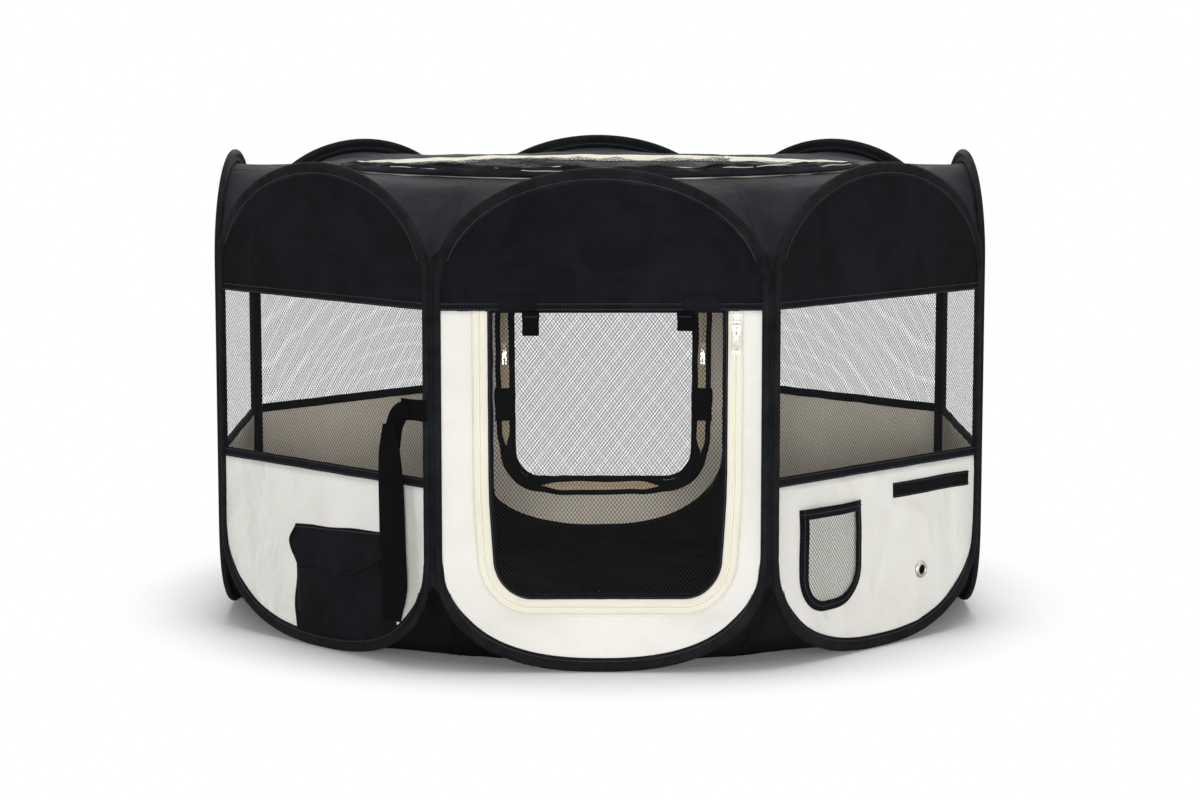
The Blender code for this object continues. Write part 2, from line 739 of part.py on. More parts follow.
def make_flap_pocket(panel, kit):
    """The black cloth pocket and its flap."""
    pocket = extruded(
        "side_pocket",
        [pocket_outline(0.0, POCKET_MOUTH_Z)],
        POCKET_BACK_OUT,
        POCKET_FRONT_OUT,
    )
    kit.add(pocket, panel, kit.black)
    hollow = extruded(
        "side_pocket_hollow",
        [pocket_outline(POCKET_WALL, POCKET_MOUTH_Z + MOUTH_CUT)],
        POCKET_BACK_OUT + POCKET_WALL,
        POCKET_FRONT_OUT - POCKET_WALL,
    )
    kit.guide(hollow, panel, pocket, "DIFFERENCE")

    back = POCKET_BACK_OUT
    section = [
        (back, FLAP_TOP_Z),
        (back + FLAP_SLANT, FLAP_BOTTOM_Z),
        (back + FLAP_SLANT + FLAP_THICKNESS, FLAP_BOTTOM_Z),
        (back + FLAP_THICKNESS, FLAP_TOP_Z),
    ]
    flap = extruded("pocket_flap", [section], -POCKET_RIGHT, -POCKET_LEFT, SECTION)
    axis = (
        (POCKET_LEFT + POCKET_RIGHT) / 2,
        -FLAP_AXIS_OUT,
        FLAP_TOP_Z - FLAP_AXIS_DROP,
    )
    kit.hinged(flap, panel, kit.black, axis)


def make_bottle_pocket(panel, kit):
    """The net pocket in its black binding."""
    shape = (BOTTLE_CENTRE, BOTTLE_HALF_WIDTH, BOTTLE_BOTTOM_Z, BOTTLE_TOP_Z, BOTTLE_CORNER_RADIUS)
    pocket = extruded("bottle_pocket", [u_shape(*shape)], CLOTH / 2 + SEWN_GAP, BOTTLE_FRONT_OUT)
    kit.add(pocket, panel, kit.net)
    hollow = u_shape(
        BOTTLE_CENTRE,
        BOTTLE_HALF_WIDTH - BOTTLE_WALL,
        BOTTLE_BOTTOM_Z + BOTTLE_WALL,
        BOTTLE_TOP_Z + MOUTH_CUT,
        BOTTLE_CORNER_RADIUS - BOTTLE_WALL,
    )
    cutter = extruded("bottle_pocket_hollow", [hollow], -BOTTLE_BACK_CUT, BOTTLE_FRONT_OUT - CLOTH)
    kit.guide(cutter, panel, pocket, "DIFFERENCE")
    half = BOTTLE_HALF_WIDTH - BOTTLE_BORDER
    centre_z = BOTTLE_BOTTOM_Z + BOTTLE_CORNER_RADIUS
    gaps = diamonds(
        BOTTLE_CENTRE - half,
        BOTTLE_BOTTOM_Z + BOTTLE_BORDER,
        BOTTLE_CENTRE + half,
        BOTTLE_TOP_Z - BOTTLE_BORDER,
        BOTTLE_GAPS_ACROSS,
        BOTTLE_GAP_ROWS,
        lambda x, z: z > centre_z or math.hypot(x - BOTTLE_CENTRE, z - centre_z) < half,
    )
    for number, gap in enumerate(gaps, 1):
        hole = extruded(
            f"bottle_pocket_gap_{number}",
            [gap],
            BOTTLE_FRONT_OUT - BOTTLE_GAP_DEPTH,
            BOTTLE_FRONT_OUT + BOTTLE_GAP_CUT,
        )
        kit.guide(hole, panel, pocket, "DIFFERENCE")


def make_fittings(panel, kit):
    """The fastener strip and the metal eyelet."""
    seat = CLOTH / 2 + SEWN_GAP
    outline = rectangle(STRIP_LEFT, STRIP_BOTTOM_Z, STRIP_RIGHT, STRIP_BOTTOM_Z + STRIP_HEIGHT)
    strip = extruded("hook_and_loop_strip", [outline], seat, seat + STRIP_THICKNESS)
    kit.add(strip, panel, kit.black)

    flange = [eyelet_hole(EYELET_FLANGE), eyelet_hole(EYELET_BORE)]
    barrel = [eyelet_hole(EYELET_BARREL), eyelet_hole(EYELET_BORE)]
    eyelet = extruded("eyelet", flange, seat, seat + EYELET_THICKNESS)
    kit.add(eyelet, panel, kit.steel)
    tube = extruded("eyelet_barrel", barrel, -CLOTH / 2, seat + EYELET_THICKNESS / 2)
    kit.guide(tube, panel, eyelet, "UNION")


def strap_outline(inset):
    """The hanging loop seen from its edge, moved inwards by inset."""
    back, belly = STRAP_BACK_OUT + inset, STRAP_BELLY_OUT - inset
    top, bottom = STRAP_AXIS_Z + STRAP_THICKNESS / 2 - inset, STRAP_BOTTOM_Z + inset
    middle = (back + belly) / 2
    half = (belly - back) / 2
    points = []
    for step in range(STRAP_STEPS + 1):
        angle = math.pi + math.pi * step / STRAP_STEPS
        points.append((middle + half * math.cos(angle), bottom + half + half * math.sin(angle)))
    shoulder = STRAP_AXIS_Z - STRAP_SHOULDER
    for step in range(STRAP_STEPS + 1):
        angle = math.pi * step / STRAP_STEPS
        reach = belly - STRAP_AXIS_OUT if 2 * step < STRAP_STEPS else STRAP_AXIS_OUT - back
        points.append(
            (
                STRAP_AXIS_OUT + reach * math.cos(angle),
                shoulder + (top - shoulder) * math.sin(angle),
            )
        )
    return points


def make_strap(panel, kit):
    """The webbing loop that hangs from the panel's right side."""
    strap = extruded(
        "hanging_strap",
        [strap_outline(0.0), strap_outline(STRAP_THICKNESS)],
        -STRAP_CENTRE - STRAP_WIDTH / 2,
        -STRAP_CENTRE + STRAP_WIDTH / 2,
        SECTION,
    )
    axis = (STRAP_CENTRE, -STRAP_AXIS_OUT, STRAP_AXIS_Z)
    kit.hinged(strap, panel, kit.black, axis)
    anchor = bar(
        "hanging_strap_anchor",
        (STRAP_CENTRE - STRAP_WIDTH / 2 + STRAP_BAR_INSET, -STRAP_AXIS_OUT, STRAP_AXIS_Z),
        (STRAP_BAR_END, -STRAP_AXIS_OUT, STRAP_AXIS_Z),
        STRAP_BAR_RADIUS,
        STRAP_BAR_SIDES,
    )
    kit.guide(anchor, panel, strap, "UNION")


def circle(radius):
    """A circle's points, anticlockwise."""
    turn = 2 * math.pi / RING_SIDES
    return [(radius * math.cos(turn * i), radius * math.sin(turn * i)) for i in range(RING_SIDES)]


def make_roof_cover(kit):
    """The zip ring around the roof opening, the net cover in it, and the ring's slider."""
    low, high = ROOF_OPENING_Z - CLOTH / 2, ROOF_OPENING_Z + CLOTH / 2
    ring = extruded(
        "roof_zip_ring", [circle(RING_OUTER_RADIUS), circle(RING_INNER_RADIUS)], low, high, PLAN
    )
    kit.centred(ring, kit.zip_cream, high)
    reach = COVER_RADIUS - COVER_BORDER
    gaps = diamonds(
        -reach,
        -reach,
        reach,
        reach,
        COVER_GAPS_ACROSS,
        COVER_GAP_ROWS,
        lambda x, y: math.hypot(x, y) < reach * math.cos(math.pi / RING_SIDES),
    )
    cover = extruded("top_cover", [circle(COVER_RADIUS)] + gaps, low, high, PLAN)
    kit.centred(cover, kit.net, high)

    near = RING_INNER_RADIUS + ROOF_SLIDER_INSET
    slider = box(
        "roof_zip_slider",
        (near, -SLIDER_LENGTH / 2, high + SEWN_GAP),
        (near + SLIDER_WIDTH, SLIDER_LENGTH / 2, high + SLIDER_HEIGHT),
    )
    slider.data.transform(Matrix.Rotation(ROOF_SLIDER_ANGLE, 4, "Z"))
    kit.centred(slider, kit.steel, high)


class Kit:
    """The collections, materials and joint empties that every piece is added to."""

    def __init__(self):
        self.parts = make_collection("foldable_dog_playpen")
        self.cutters = make_collection("cutters_and_guides")
        self.black = make_material("black_oxford_cloth", BLACK, 0.8)
        self.charcoal = make_material("charcoal_cloth", CHARCOAL, 0.8)
        self.cream = make_material("cream_cloth", CREAM, 0.75)
        self.zip_cream = make_material("cream_zip_tape", ZIP_CREAM, 0.7)
        self.net = make_material("net", NET_GREY, 0.7)
        self.steel = make_material("bright_steel", STEEL, 0.3, 1.0)
        self.axes = {}

    def empty(self, name, frame, parent=None):
        """An empty on a joint's axis."""
        made = bpy.data.objects.new(name, None)
        self.parts.objects.link(made)
        made.parent = parent
        made.matrix_world = frame
        bpy.context.view_layer.update()
        return made

    def open_panel(self, panel):
        """Put a panel's empty on the seam that joins it to its parent."""
        hinge = Vector((0, 0, 0))
        parent = None
        if panel.parent:
            hinge = panel.seam(panel.parent_end)
            parent = self.axes[panel.parent]
        frame = panel.frame() @ Matrix.Translation(hinge)
        self.axes[panel.name] = self.empty(panel.name + "_panel_axis", frame, parent)

    def hold(self, item, frame, parent):
        """Parent an item that is drawn in a frame, without moving it."""
        item.parent = parent
        item.matrix_parent_inverse = parent.matrix_world.inverted()
        item.matrix_world = frame

    def add(self, item, panel, material):
        """Add a piece that is fixed to its panel."""
        self.parts.objects.link(item)
        item.data.materials.clear()
        item.data.materials.append(material)
        self.hold(item, panel.frame(), self.axes[panel.name])

    def hinged(self, item, panel, material, axis):
        """Add a piece that moves on its panel, under an empty on the joint's axis."""
        frame = panel.frame() @ Matrix.Translation(axis)
        pivot = self.empty(item.name + "_axis", frame, self.axes[panel.name])
        self.parts.objects.link(item)
        item.data.materials.clear()
        item.data.materials.append(material)
        self.hold(item, panel.frame(), pivot)

    def centred(self, item, material, height):
        """Add a piece of the roof that moves about or along the pen's upright middle line."""
        pivot = self.empty(item.name + "_axis", Matrix.Translation((0, 0, height)), self.axes["front"])
        self.parts.objects.link(item)
        item.data.materials.clear()
        item.data.materials.append(material)
        self.hold(item, Matrix.Identity(4), pivot)

    def guide(self, tool, panel, target, operation):
        """Join a tool to a piece of a panel, or cut it out."""
        combine(target, tool, operation, self.cutters)
        self.hold(tool, panel.frame(), self.axes[panel.name])


def build():
    """Build every piece of the pen."""
    clear_scene()
    kit = Kit()
    for panel in PANELS:
        kit.open_panel(panel)
        make_spring(panel, kit)
        make_sleeve(panel, kit)
        if panel.door_shift is None:
            make_skirt(panel, kit)
            make_window(panel, kit)
        else:
            make_door(panel, kit)
        make_floor_gore(panel, kit)
        make_roof_gore(panel, kit)
    by_name = {panel.name: panel for panel in PANELS}
    make_flap_pocket(by_name["front_left"], kit)
    make_strap(by_name["front_left"], kit)
    make_bottle_pocket(by_name["front_right"], kit)
    make_fittings(by_name["front_right"], kit)
    make_roof_cover(kit)


build()
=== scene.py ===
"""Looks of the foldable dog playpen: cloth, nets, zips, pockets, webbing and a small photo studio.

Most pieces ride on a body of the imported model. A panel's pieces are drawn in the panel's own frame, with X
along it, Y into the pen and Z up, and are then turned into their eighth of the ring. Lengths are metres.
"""

import logging
from collections.abc import Callable, Sequence
from dataclasses import dataclass
from enum import Enum
from math import asin, atan2, ceil, copysign, cos, hypot, pi, radians, sin, sqrt, tan, tau

import bmesh
import bpy
from mathutils import Matrix, Vector, noise


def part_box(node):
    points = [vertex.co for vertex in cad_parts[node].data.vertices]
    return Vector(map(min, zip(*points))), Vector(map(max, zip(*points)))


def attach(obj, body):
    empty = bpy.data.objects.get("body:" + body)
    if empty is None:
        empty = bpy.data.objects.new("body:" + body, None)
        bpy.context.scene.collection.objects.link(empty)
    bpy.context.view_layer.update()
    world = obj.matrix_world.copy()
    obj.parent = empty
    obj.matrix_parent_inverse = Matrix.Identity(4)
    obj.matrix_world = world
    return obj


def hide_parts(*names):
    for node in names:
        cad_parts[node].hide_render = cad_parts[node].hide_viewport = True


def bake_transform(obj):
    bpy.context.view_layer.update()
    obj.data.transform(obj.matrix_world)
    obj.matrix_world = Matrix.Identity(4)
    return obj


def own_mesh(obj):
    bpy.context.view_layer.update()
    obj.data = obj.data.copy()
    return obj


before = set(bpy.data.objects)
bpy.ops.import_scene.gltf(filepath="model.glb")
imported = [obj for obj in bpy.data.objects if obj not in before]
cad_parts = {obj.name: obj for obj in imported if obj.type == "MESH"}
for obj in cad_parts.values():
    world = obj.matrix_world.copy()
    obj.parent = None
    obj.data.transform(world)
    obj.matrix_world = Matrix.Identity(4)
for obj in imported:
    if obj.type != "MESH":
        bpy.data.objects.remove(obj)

logging.basicConfig(level=logging.INFO, format="%(message)s")
log = logging.getLogger("playpen")

UV_LAYER = "cloth"
WELD = 1e-6
HALF_TURN = pi / 8
STEP = 0.006
FINE_STEP = 0.004

Rgb = tuple[float, float, float]
Shape = bmesh.types.BMesh
Place = Callable[[float, float], Vector]
Line = Sequence[Vector]
Pair = tuple[float, float]
Socket = bpy.types.NodeSocket
Tree = bpy.types.NodeTree
Material = bpy.types.Material
Piece = bpy.types.Object


class Face(Enum):
    """The side of a panel that a strip lies on."""

    OUTSIDE = -1.0
    INSIDE = 1.0


class Held(Enum):
    """How a sheet of cloth is held."""

    STRETCHED = "stretched"
    HUNG = "hung"
    LAID = "laid"
    GATHERED = "gathered"


def srgb(*display: float) -> Rgb:
    """Turn a display colour, with channels from 0 to 255, into a linear one."""
    shares = [value / 255 for value in display]
    return tuple(share / 12.92 if share <= 0.04045 else ((share + 0.055) / 1.055) ** 2.4 for share in shares)


def smooth(value: float, low: float, high: float) -> float:
    """Rise smoothly from 0 at low to 1 at high."""
    share = min(max((value - low) / (high - low), 0.0), 1.0)
    return share * share * (3 - 2 * share)


def rumple(across: float, up: float, scale: float, seed: float) -> float:
    """Read noise from about -1 to 1, at some bumps per metre, in the pattern that seed picks."""
    return noise.noise(at(across * scale, up * scale, seed * 7.31 + 0.37))


def at(*parts: float) -> Vector:
    """The vector of some coordinates."""
    return Vector(parts)


def blank() -> Shape:
    """An empty shape with the cloth's UV layer."""
    shape = bmesh.new()
    shape.loops.layers.uv.new(UV_LAYER)
    return shape


def bevel(shape: Shape, edges: Sequence[bmesh.types.BMEdge], offset: float) -> Shape:
    """Round some edges of a shape."""
    bmesh.ops.bevel(shape, geom=edges, offset=offset, segments=2, profile=0.5, affect="EDGES", material=-1)
    return shape


def vectors(*points: tuple[float, ...]) -> list[Vector]:
    """Vectors from bare coordinates."""
    return [Vector(point) for point in points]


def flat_line(left: float, right: float, up: float) -> list[Vector]:
    """A level line in a panel's face."""
    return vectors((left, up), (right, up))


def solid(shape: Shape, thickness: float) -> Shape:
    """Give a sheet its thickness."""
    bmesh.ops.solidify(shape, geom=shape.faces[:], thickness=thickness)
    bmesh.ops.recalc_face_normals(shape, faces=shape.faces)
    return shape


def link(name: str, data: bpy.types.ID) -> Piece:
    """Make an object of some data, in the scene."""
    made = bpy.data.objects.new(name, data)
    bpy.context.scene.collection.objects.link(made)
    return made


class Graph:
    """Adds and links the nodes of one node tree."""

    def __init__(self, tree: Tree) -> None:
        """Keep the tree."""
        self.tree = tree

    def add(self, kind: str, feeds: dict | None = None, **settings: object) -> bpy.types.Node:
        """Add a node.

        Args:
            kind: The node's Blender type name.
            feeds: Its inputs, by number or name, each with a plain value or a socket.
            **settings: Attributes to set on it.

        Returns:
            The new node.
        """
        node = self.tree.nodes.new(kind)
        for key, value in settings.items():
            setattr(node, key, value)
        for key, value in (feeds or {}).items():
            self.feed(node.inputs[key], value)
        return node

    def feed(self, socket: Socket, value: object) -> None:
        """Link a socket into another, or set a plain value on it."""
        if isinstance(value, Socket):
            self.tree.links.new(value, socket)
        else:
            socket.default_value = value

    def math(self, operation: str, *terms: object) -> Socket:
        """Add a Math node over numbers or sockets, and give its result."""
        return self.add("ShaderNodeMath", dict(enumerate(terms)), operation=operation).outputs[0]

    def noise(self, place: object, scale: object, detail: float, distortion: float = 0.0) -> object:
        """Add a Noise texture that reads some coordinates, and give its value from 0 to 1."""
        feeds = {"Vector": place, "Scale": scale, "Detail": detail, "Distortion": distortion}
        return self.add("ShaderNodeTexNoise", feeds).outputs["Fac"]

    def between(self, factor: object, low: Rgb, high: Rgb) -> Socket:
        """Mix two colours by the share of the second one."""
        feeds = {"Factor": factor, "A": (*low, 1.0), "B": (*high, 1.0)}
        mixed = self.add("ShaderNodeMix", feeds, data_type="RGBA").outputs
        return next(socket for socket in mixed if socket.type == "RGBA")

    def rescaled(self, value: object, low: float, high: float) -> Socket:
        """Stretch a share from 0 to 1 over the range from low to high."""
        return self.add("ShaderNodeMapRange", {"Value": value, "To Min": low, "To Max": high}).outputs[0]

    def bump(self, height: object, depth: float, under: object = None) -> Socket:
        """Add a Bump node, where a height of 1 is depth in metres, over the normal of a coarser one."""
        feeds = {"Distance": depth, "Height": height} | ({"Normal": under} if under is not None else {})
        return self.add("ShaderNodeBump", feeds).outputs[0]

    def dress(self, shader: bpy.types.Node, colour: object, rough: object, normal: object) -> None:
        """Feed a shader its colour, its roughness and its normal."""
        for name, value in (("Base Color", colour), ("Roughness", rough), ("Normal", normal)):
            self.feed(shader.inputs[name], value)


def open_group(name: str, numbers: Sequence[str], outputs: Sequence[str]) -> tuple:
    """Start a shader node group that reads coordinates and some numbers.

    Args:
        name: The group's name.
        numbers: Names of its number inputs.
        outputs: Names of its number outputs.

    Returns:
        The group, its graph, what it is given and what it puts out.
    """
    group = bpy.data.node_groups.new(name, "ShaderNodeTree")
    sockets = [("Coordinates", "INPUT", "NodeSocketVector")]
    sockets += [(number, "INPUT", "NodeSocketFloat") for number in numbers]
    sockets += [(output, "OUTPUT", "NodeSocketFloat") for output in outputs]
    for label, way, kind in sockets:
        group.interface.new_socket(name=label, in_out=way, socket_type=kind)
    graph = Graph(group)
    return group, graph, graph.add("NodeGroupInput").outputs, graph.add("NodeGroupOutput").inputs


def weave_group() -> Tree:
    """Build the plain weave: warp and weft threads that pass over each other.

    Returns:
        A group that puts out the weave's height and the places where warp lies on top.
    """
    group, graph, given, put = open_group("plain_weave", ["Threads"], ["Height", "Warp"])
    parts = graph.add("ShaderNodeSeparateXYZ", {0: given["Coordinates"]}).outputs
    turn = graph.math("MULTIPLY", given["Threads"], pi)
    warp = graph.math("SINE", graph.math("MULTIPLY", parts["X"], turn))
    weft = graph.math("SINE", graph.math("MULTIPLY", parts["Y"], turn))
    over = graph.math("GREATER_THAN", graph.math("MULTIPLY", warp, weft), 0.0)
    under = graph.math("SUBTRACT", 1.0, over)
    high_warp = graph.math("MULTIPLY", graph.math("ABSOLUTE", warp), over)
    high_weft = graph.math("MULTIPLY", graph.math("ABSOLUTE", weft), under)
    graph.feed(put["Height"], graph.math("ADD", high_warp, high_weft))
    graph.feed(put["Warp"], over)
    return group


def crease_group() -> Tree:
    """Build soft creases: long crumples with a sharper ridge along them.

    Returns:
        A group that puts out the creases' height and a mask of their ridges.
    """
    group, graph, given, put = open_group("soft_creases", ["Scale"], ["Height", "Ridge"])
    broad = graph.noise(given["Coordinates"], given["Scale"], 3.0, 0.6)
    fold = graph.math("ABSOLUTE", graph.math("SUBTRACT", broad, 0.5))
    ridge = graph.math("SUBTRACT", 1.0, graph.math("MULTIPLY", fold, 7.0))
    clean = graph.math("MAXIMUM", ridge, 0.0)
    graph.feed(put["Ridge"], clean)
    half = graph.math("MULTIPLY", clean, 0.35)
    graph.feed(put["Height"], graph.math("ADD", broad, half))
    return group


def wear_group() -> Tree:
    """Build handling wear: faded patches and fine lint.

    Returns:
        A group that puts out a broad mask of faded cloth and a sparse mask of lint.
    """
    group, graph, given, put = open_group("handling_wear", ["Scale"], ["Faded", "Lint"])
    patch = graph.noise(given["Coordinates"], given["Scale"], 5.0)
    graph.feed(put["Faded"], graph.math("SMOOTH_MAX", graph.math("SUBTRACT", patch, 0.42), 0.0, 0.1))
    fine = graph.math("MULTIPLY", given["Scale"], 90.0)
    speck = graph.noise(given["Coordinates"], fine, 2.0)
    graph.feed(put["Lint"], graph.math("GREATER_THAN", speck, 0.72))
    return group


@dataclass(frozen=True)
class Effects:
    """The node groups that the finishes share."""

    weave: Tree
    creases: Tree
    wear: Tree

    @classmethod
    def build(cls) -> "Effects":
        """Build each group once."""
        return cls(weave_group(), crease_group(), wear_group())

    def use(self, graph: Graph, group: Tree, place: Socket, number: float) -> bpy.types.bpy_prop_collection:
        """Place a group over some coordinates, at a scale or threads per metre, and give its outputs."""
        return graph.add("ShaderNodeGroup", {0: place, 1: number}, node_tree=group).outputs


def open_material(name: str) -> tuple:
    """Start a material.

    Args:
        name: The material's name.

    Returns:
        The material, its graph, its shader and its texture coordinates.
    """
    material = bpy.data.materials.new(name)
    material.use_nodes = True
    graph = Graph(material.node_tree)
    shader = material.node_tree.nodes["Principled BSDF"]
    return material, graph, shader, graph.add("ShaderNodeTexCoord").outputs


@dataclass(frozen=True)
class Finish:
    """A finish's name, and the two colours that its tone runs between."""

    name: str
    deep: Rgb
    pale: Rgb


@dataclass(frozen=True)
class ClothFinish(Finish):
    """A woven cloth: its colours, its threads and how it creases."""

    threads: float
    weave_depth: float
    crease_scale: float
    crease_depth: float
    roughness: float
    gloss: float = 0.25
    thread_contrast: float = 0.3

    def make(self, effects: Effects) -> Material:
        """Build the material."""
        material, graph, shader, place = open_material(self.name)
        weave = effects.use(graph, effects.weave, place["UV"], self.threads)
        crease = effects.use(graph, effects.creases, place["Object"], self.crease_scale)
        wear = effects.use(graph, effects.wear, place["Object"], self.crease_scale * 0.6)
        # The weave's height also pales the tone: painted shade, darker where the threads dip under each
        # other.
        thread = graph.math("MULTIPLY", weave["Height"], self.thread_contrast)
        faded = graph.math("MULTIPLY", wear["Faded"], 1.6)
        # Crease ridges are painted paler: a painted highlight along each ridge.
        ridge = graph.math("MULTIPLY", crease["Ridge"], 0.25)
        lint = graph.math("MULTIPLY", wear["Lint"], 0.35)
        tone = graph.math("ADD", graph.math("ADD", thread, faded), graph.math("ADD", ridge, lint))
        rough = graph.rescaled(wear["Faded"], self.roughness - 0.05, self.roughness + 0.25)
        coarse = graph.bump(crease["Height"], self.crease_depth)
        fine = graph.bump(weave["Height"], self.weave_depth, coarse)
        graph.dress(shader, graph.between(tone, self.deep, self.pale), rough, fine)
        shader.inputs["Specular IOR Level"].default_value = self.gloss
        return material


@dataclass(frozen=True)
class RibFinish(Finish):
    """A narrow woven tape or webbing, with ribs across its length."""

    ribs: float
    chevron: float
    depth: float
    roughness: float

    def make(self, effects: Effects) -> Material:
        """Build the material."""
        material, graph, shader, place = open_material(self.name)
        parts = graph.add("ShaderNodeSeparateXYZ", {0: place["UV"]}).outputs
        slant = graph.math("PINGPONG", graph.math("MULTIPLY", parts["X"], self.chevron), 0.5)
        along = graph.math("MULTIPLY", parts["Y"], self.ribs)
        wave = graph.math("SINE", graph.math("MULTIPLY", graph.math("ADD", along, slant), tau))
        height = graph.rescaled(graph.math("ABSOLUTE", wave), 0.0, 1.0)
        wear = effects.use(graph, effects.wear, place["Object"], 14.0)
        # Rib crowns are painted paler than the grooves: painted shade in the grooves between the ribs.
        tone = graph.math("ADD", graph.math("MULTIPLY", height, 0.55), wear["Faded"])
        rough = graph.rescaled(height, self.roughness, self.roughness + 0.15)
        colour = graph.between(tone, self.deep, self.pale)
        graph.dress(shader, colour, rough, graph.bump(height, self.depth))
        shader.inputs["Specular IOR Level"].default_value = 0.06
        return material


@dataclass(frozen=True)
class YarnFinish(Finish):
    """Spun yarn, for nets, stitches and zip coils, or pile when its grain is coarse and deep."""

    grain: float
    depth: float
    roughness: float
    gloss: float = 0.3

    def make(self, effects: Effects) -> Material:
        """Build the material."""
        material, graph, shader, place = open_material(self.name)
        fibre = graph.noise(place["Object"], self.grain, 4.0, 1.2)
        wear = effects.use(graph, effects.wear, place["Object"], 11.0)
        tone = graph.math("ADD", graph.rescaled(fibre, -0.4, 1.2), wear["Faded"])
        rough = graph.rescaled(fibre, self.roughness, 1.0)
        colour = graph.between(tone, self.deep, self.pale)
        graph.dress(shader, colour, rough, graph.bump(fibre, self.depth))
        shader.inputs["Specular IOR Level"].default_value = self.gloss
        return material


@dataclass(frozen=True)
class MetalFinish(Finish):
    """Plated or drawn metal with fine handling scratches."""

    roughness: float
    scratch_depth: float = 0.00004

    def make(self, effects: Effects) -> Material:
        """Build the material."""
        material, graph, shader, place = open_material(self.name)
        wear = effects.use(graph, effects.wear, place["Object"], 60.0)
        scratch = graph.noise(place["Object"], 900.0, 6.0, 3.0)
        tone = graph.math("ADD", graph.rescaled(scratch, -0.2, 0.9), wear["Faded"])
        rough = graph.rescaled(scratch, self.roughness * 0.6, self.roughness * 1.8)
        colour = graph.between(tone, self.pale, self.deep)
        graph.dress(shader, colour, rough, graph.bump(scratch, self.scratch_depth))
        shader.inputs["Metallic"].default_value = 1.0
        return material


CLOTHS = {
    "black": ("black_oxford", (8, 8, 11), (28, 28, 33), 1500, 0.00018, 16, 0.003, 0.8, 0.06),
    "rim": ("black_rim_tape", (11, 12, 13), (35, 37, 39), 1500, 0.00018, 34, 0.0015, 0.8, 0.07),
    "floor": ("black_floor_cloth", (14, 14, 15), (38, 38, 39), 1300, 0.0002, 9, 0.005, 0.85, 0.0),
    "charcoal": ("charcoal_roof_cloth", (32, 31, 35), (60, 59, 64), 1500, 0.00018, 13, 0.004, 0.85, 0.07),
    "cream": ("cream_oxford", (230, 228, 221), (244, 242, 236), 1500, 0.00014, 9, 0.004, 0.7),
    # The inner face of the cream cloth: a warmer beige painted paler than the cream outside, as painted light
    # for the glow through the cloth into the pen.
    "lining": ("beige_inner_face_painted_light", (244, 234, 216), (254, 245, 230), 1500, 0.00014, 9, 0.003, 0.75),
}
RIBS = {
    "tape": ("cream_zip_tape", (232, 227, 209), (249, 246, 233), 900, 420, 0.00018, 0.65),
    "tape_back": ("beige_zip_tape_back", (236, 212, 168), (253, 238, 204), 900, 420, 0.00018, 0.65),
    "webbing": ("black_webbing", (4, 4, 5), (18, 18, 20), 520, 260, 0.0003, 0.85),
}
YARNS = {
    "coil": ("cream_zip_coil", (232, 226, 206), (250, 246, 232), 1800, 0.00004, 0.35),
    "net": ("dark_net_yarn", (14, 14, 16), (40, 40, 43), 2600, 0.00006, 0.7, 0.16),
    "cover_net": ("black_cover_net_yarn", (17, 17, 19), (44, 44, 47), 2600, 0.00006, 0.5),
    "black_thread": ("black_thread", (30, 31, 33), (74, 76, 80), 3000, 0.00005, 0.5),
    "cream_thread": ("cream_thread", (214, 208, 194), (244, 240, 230), 3000, 0.00005, 0.5),
    "pile": ("hook_and_loop_pile", (9, 9, 10), (30, 30, 32), 700, 0.0003, 0.9, 0.04),
}
METALS = {
    "nickel": ("bright_nickel", (128, 124, 118), (214, 210, 203), 0.3),
    "polished": ("polished_nickel", (196, 195, 192), (240, 239, 236), 0.14, 0.000004),
    "spring": ("blued_spring_steel", (92, 95, 100), (150, 153, 158), 0.3),
}


class Finishes:
    """Every material of the pen, built once, each under its key in the four lists above."""

    def __init__(self) -> None:
        """Build them, with the fields of each finish's class in the order of its list."""
        effects = Effects.build()
        kinds = ((ClothFinish, CLOTHS), (RibFinish, RIBS), (YarnFinish, YARNS), (MetalFinish, METALS))
        for kind, table in kinds:
            for key, (name, deep, pale, *sizes) in table.items():
                setattr(self, key, kind(name, srgb(*deep), srgb(*pale), *sizes).make(effects))


@dataclass(frozen=True)
class Station:
    """A place on a path in a panel's face: its point, the direction away from the middle, its distance."""

    point: Vector
    outward: Vector
    distance: float


Path = Sequence[Station]


def along(points: Line, spacing: float, closed: bool = False) -> list[Station]:
    """Divide a run of points into even steps.

    Args:
        points: Points in the panel's face as (across, up), anticlockwise round the middle.
        spacing: The wanted step.
        closed: Whether the run closes.

    Returns:
        The stations, each with its outward direction.
    """
    run = list(points) + ([points[0]] if closed else [])
    reach = [0.0]
    for first, second in zip(run, run[1:]):
        reach.append(reach[-1] + (second - first).length)
    count = max(2, round(reach[-1] / spacing))
    found = []
    segment = 0
    for step in range(count if closed else count + 1):
        wanted = reach[-1] * step / count
        while segment < len(run) - 2 and reach[segment + 1] < wanted:
            segment += 1
        share = (wanted - reach[segment]) / max(reach[segment + 1] - reach[segment], WELD)
        found.append((run[segment].lerp(run[segment + 1], share), wanted))
    made = []
    last = len(found) - 1
    for index, (point, distance) in enumerate(found):
        before = found[index - 1][0] if closed or index > 0 else point
        after = found[(index + 1) % len(found)][0] if closed or index < last else point
        step_along = (after - before).normalized()
        made.append(Station(point, at(step_along.y, -step_along.x), distance))
    return made


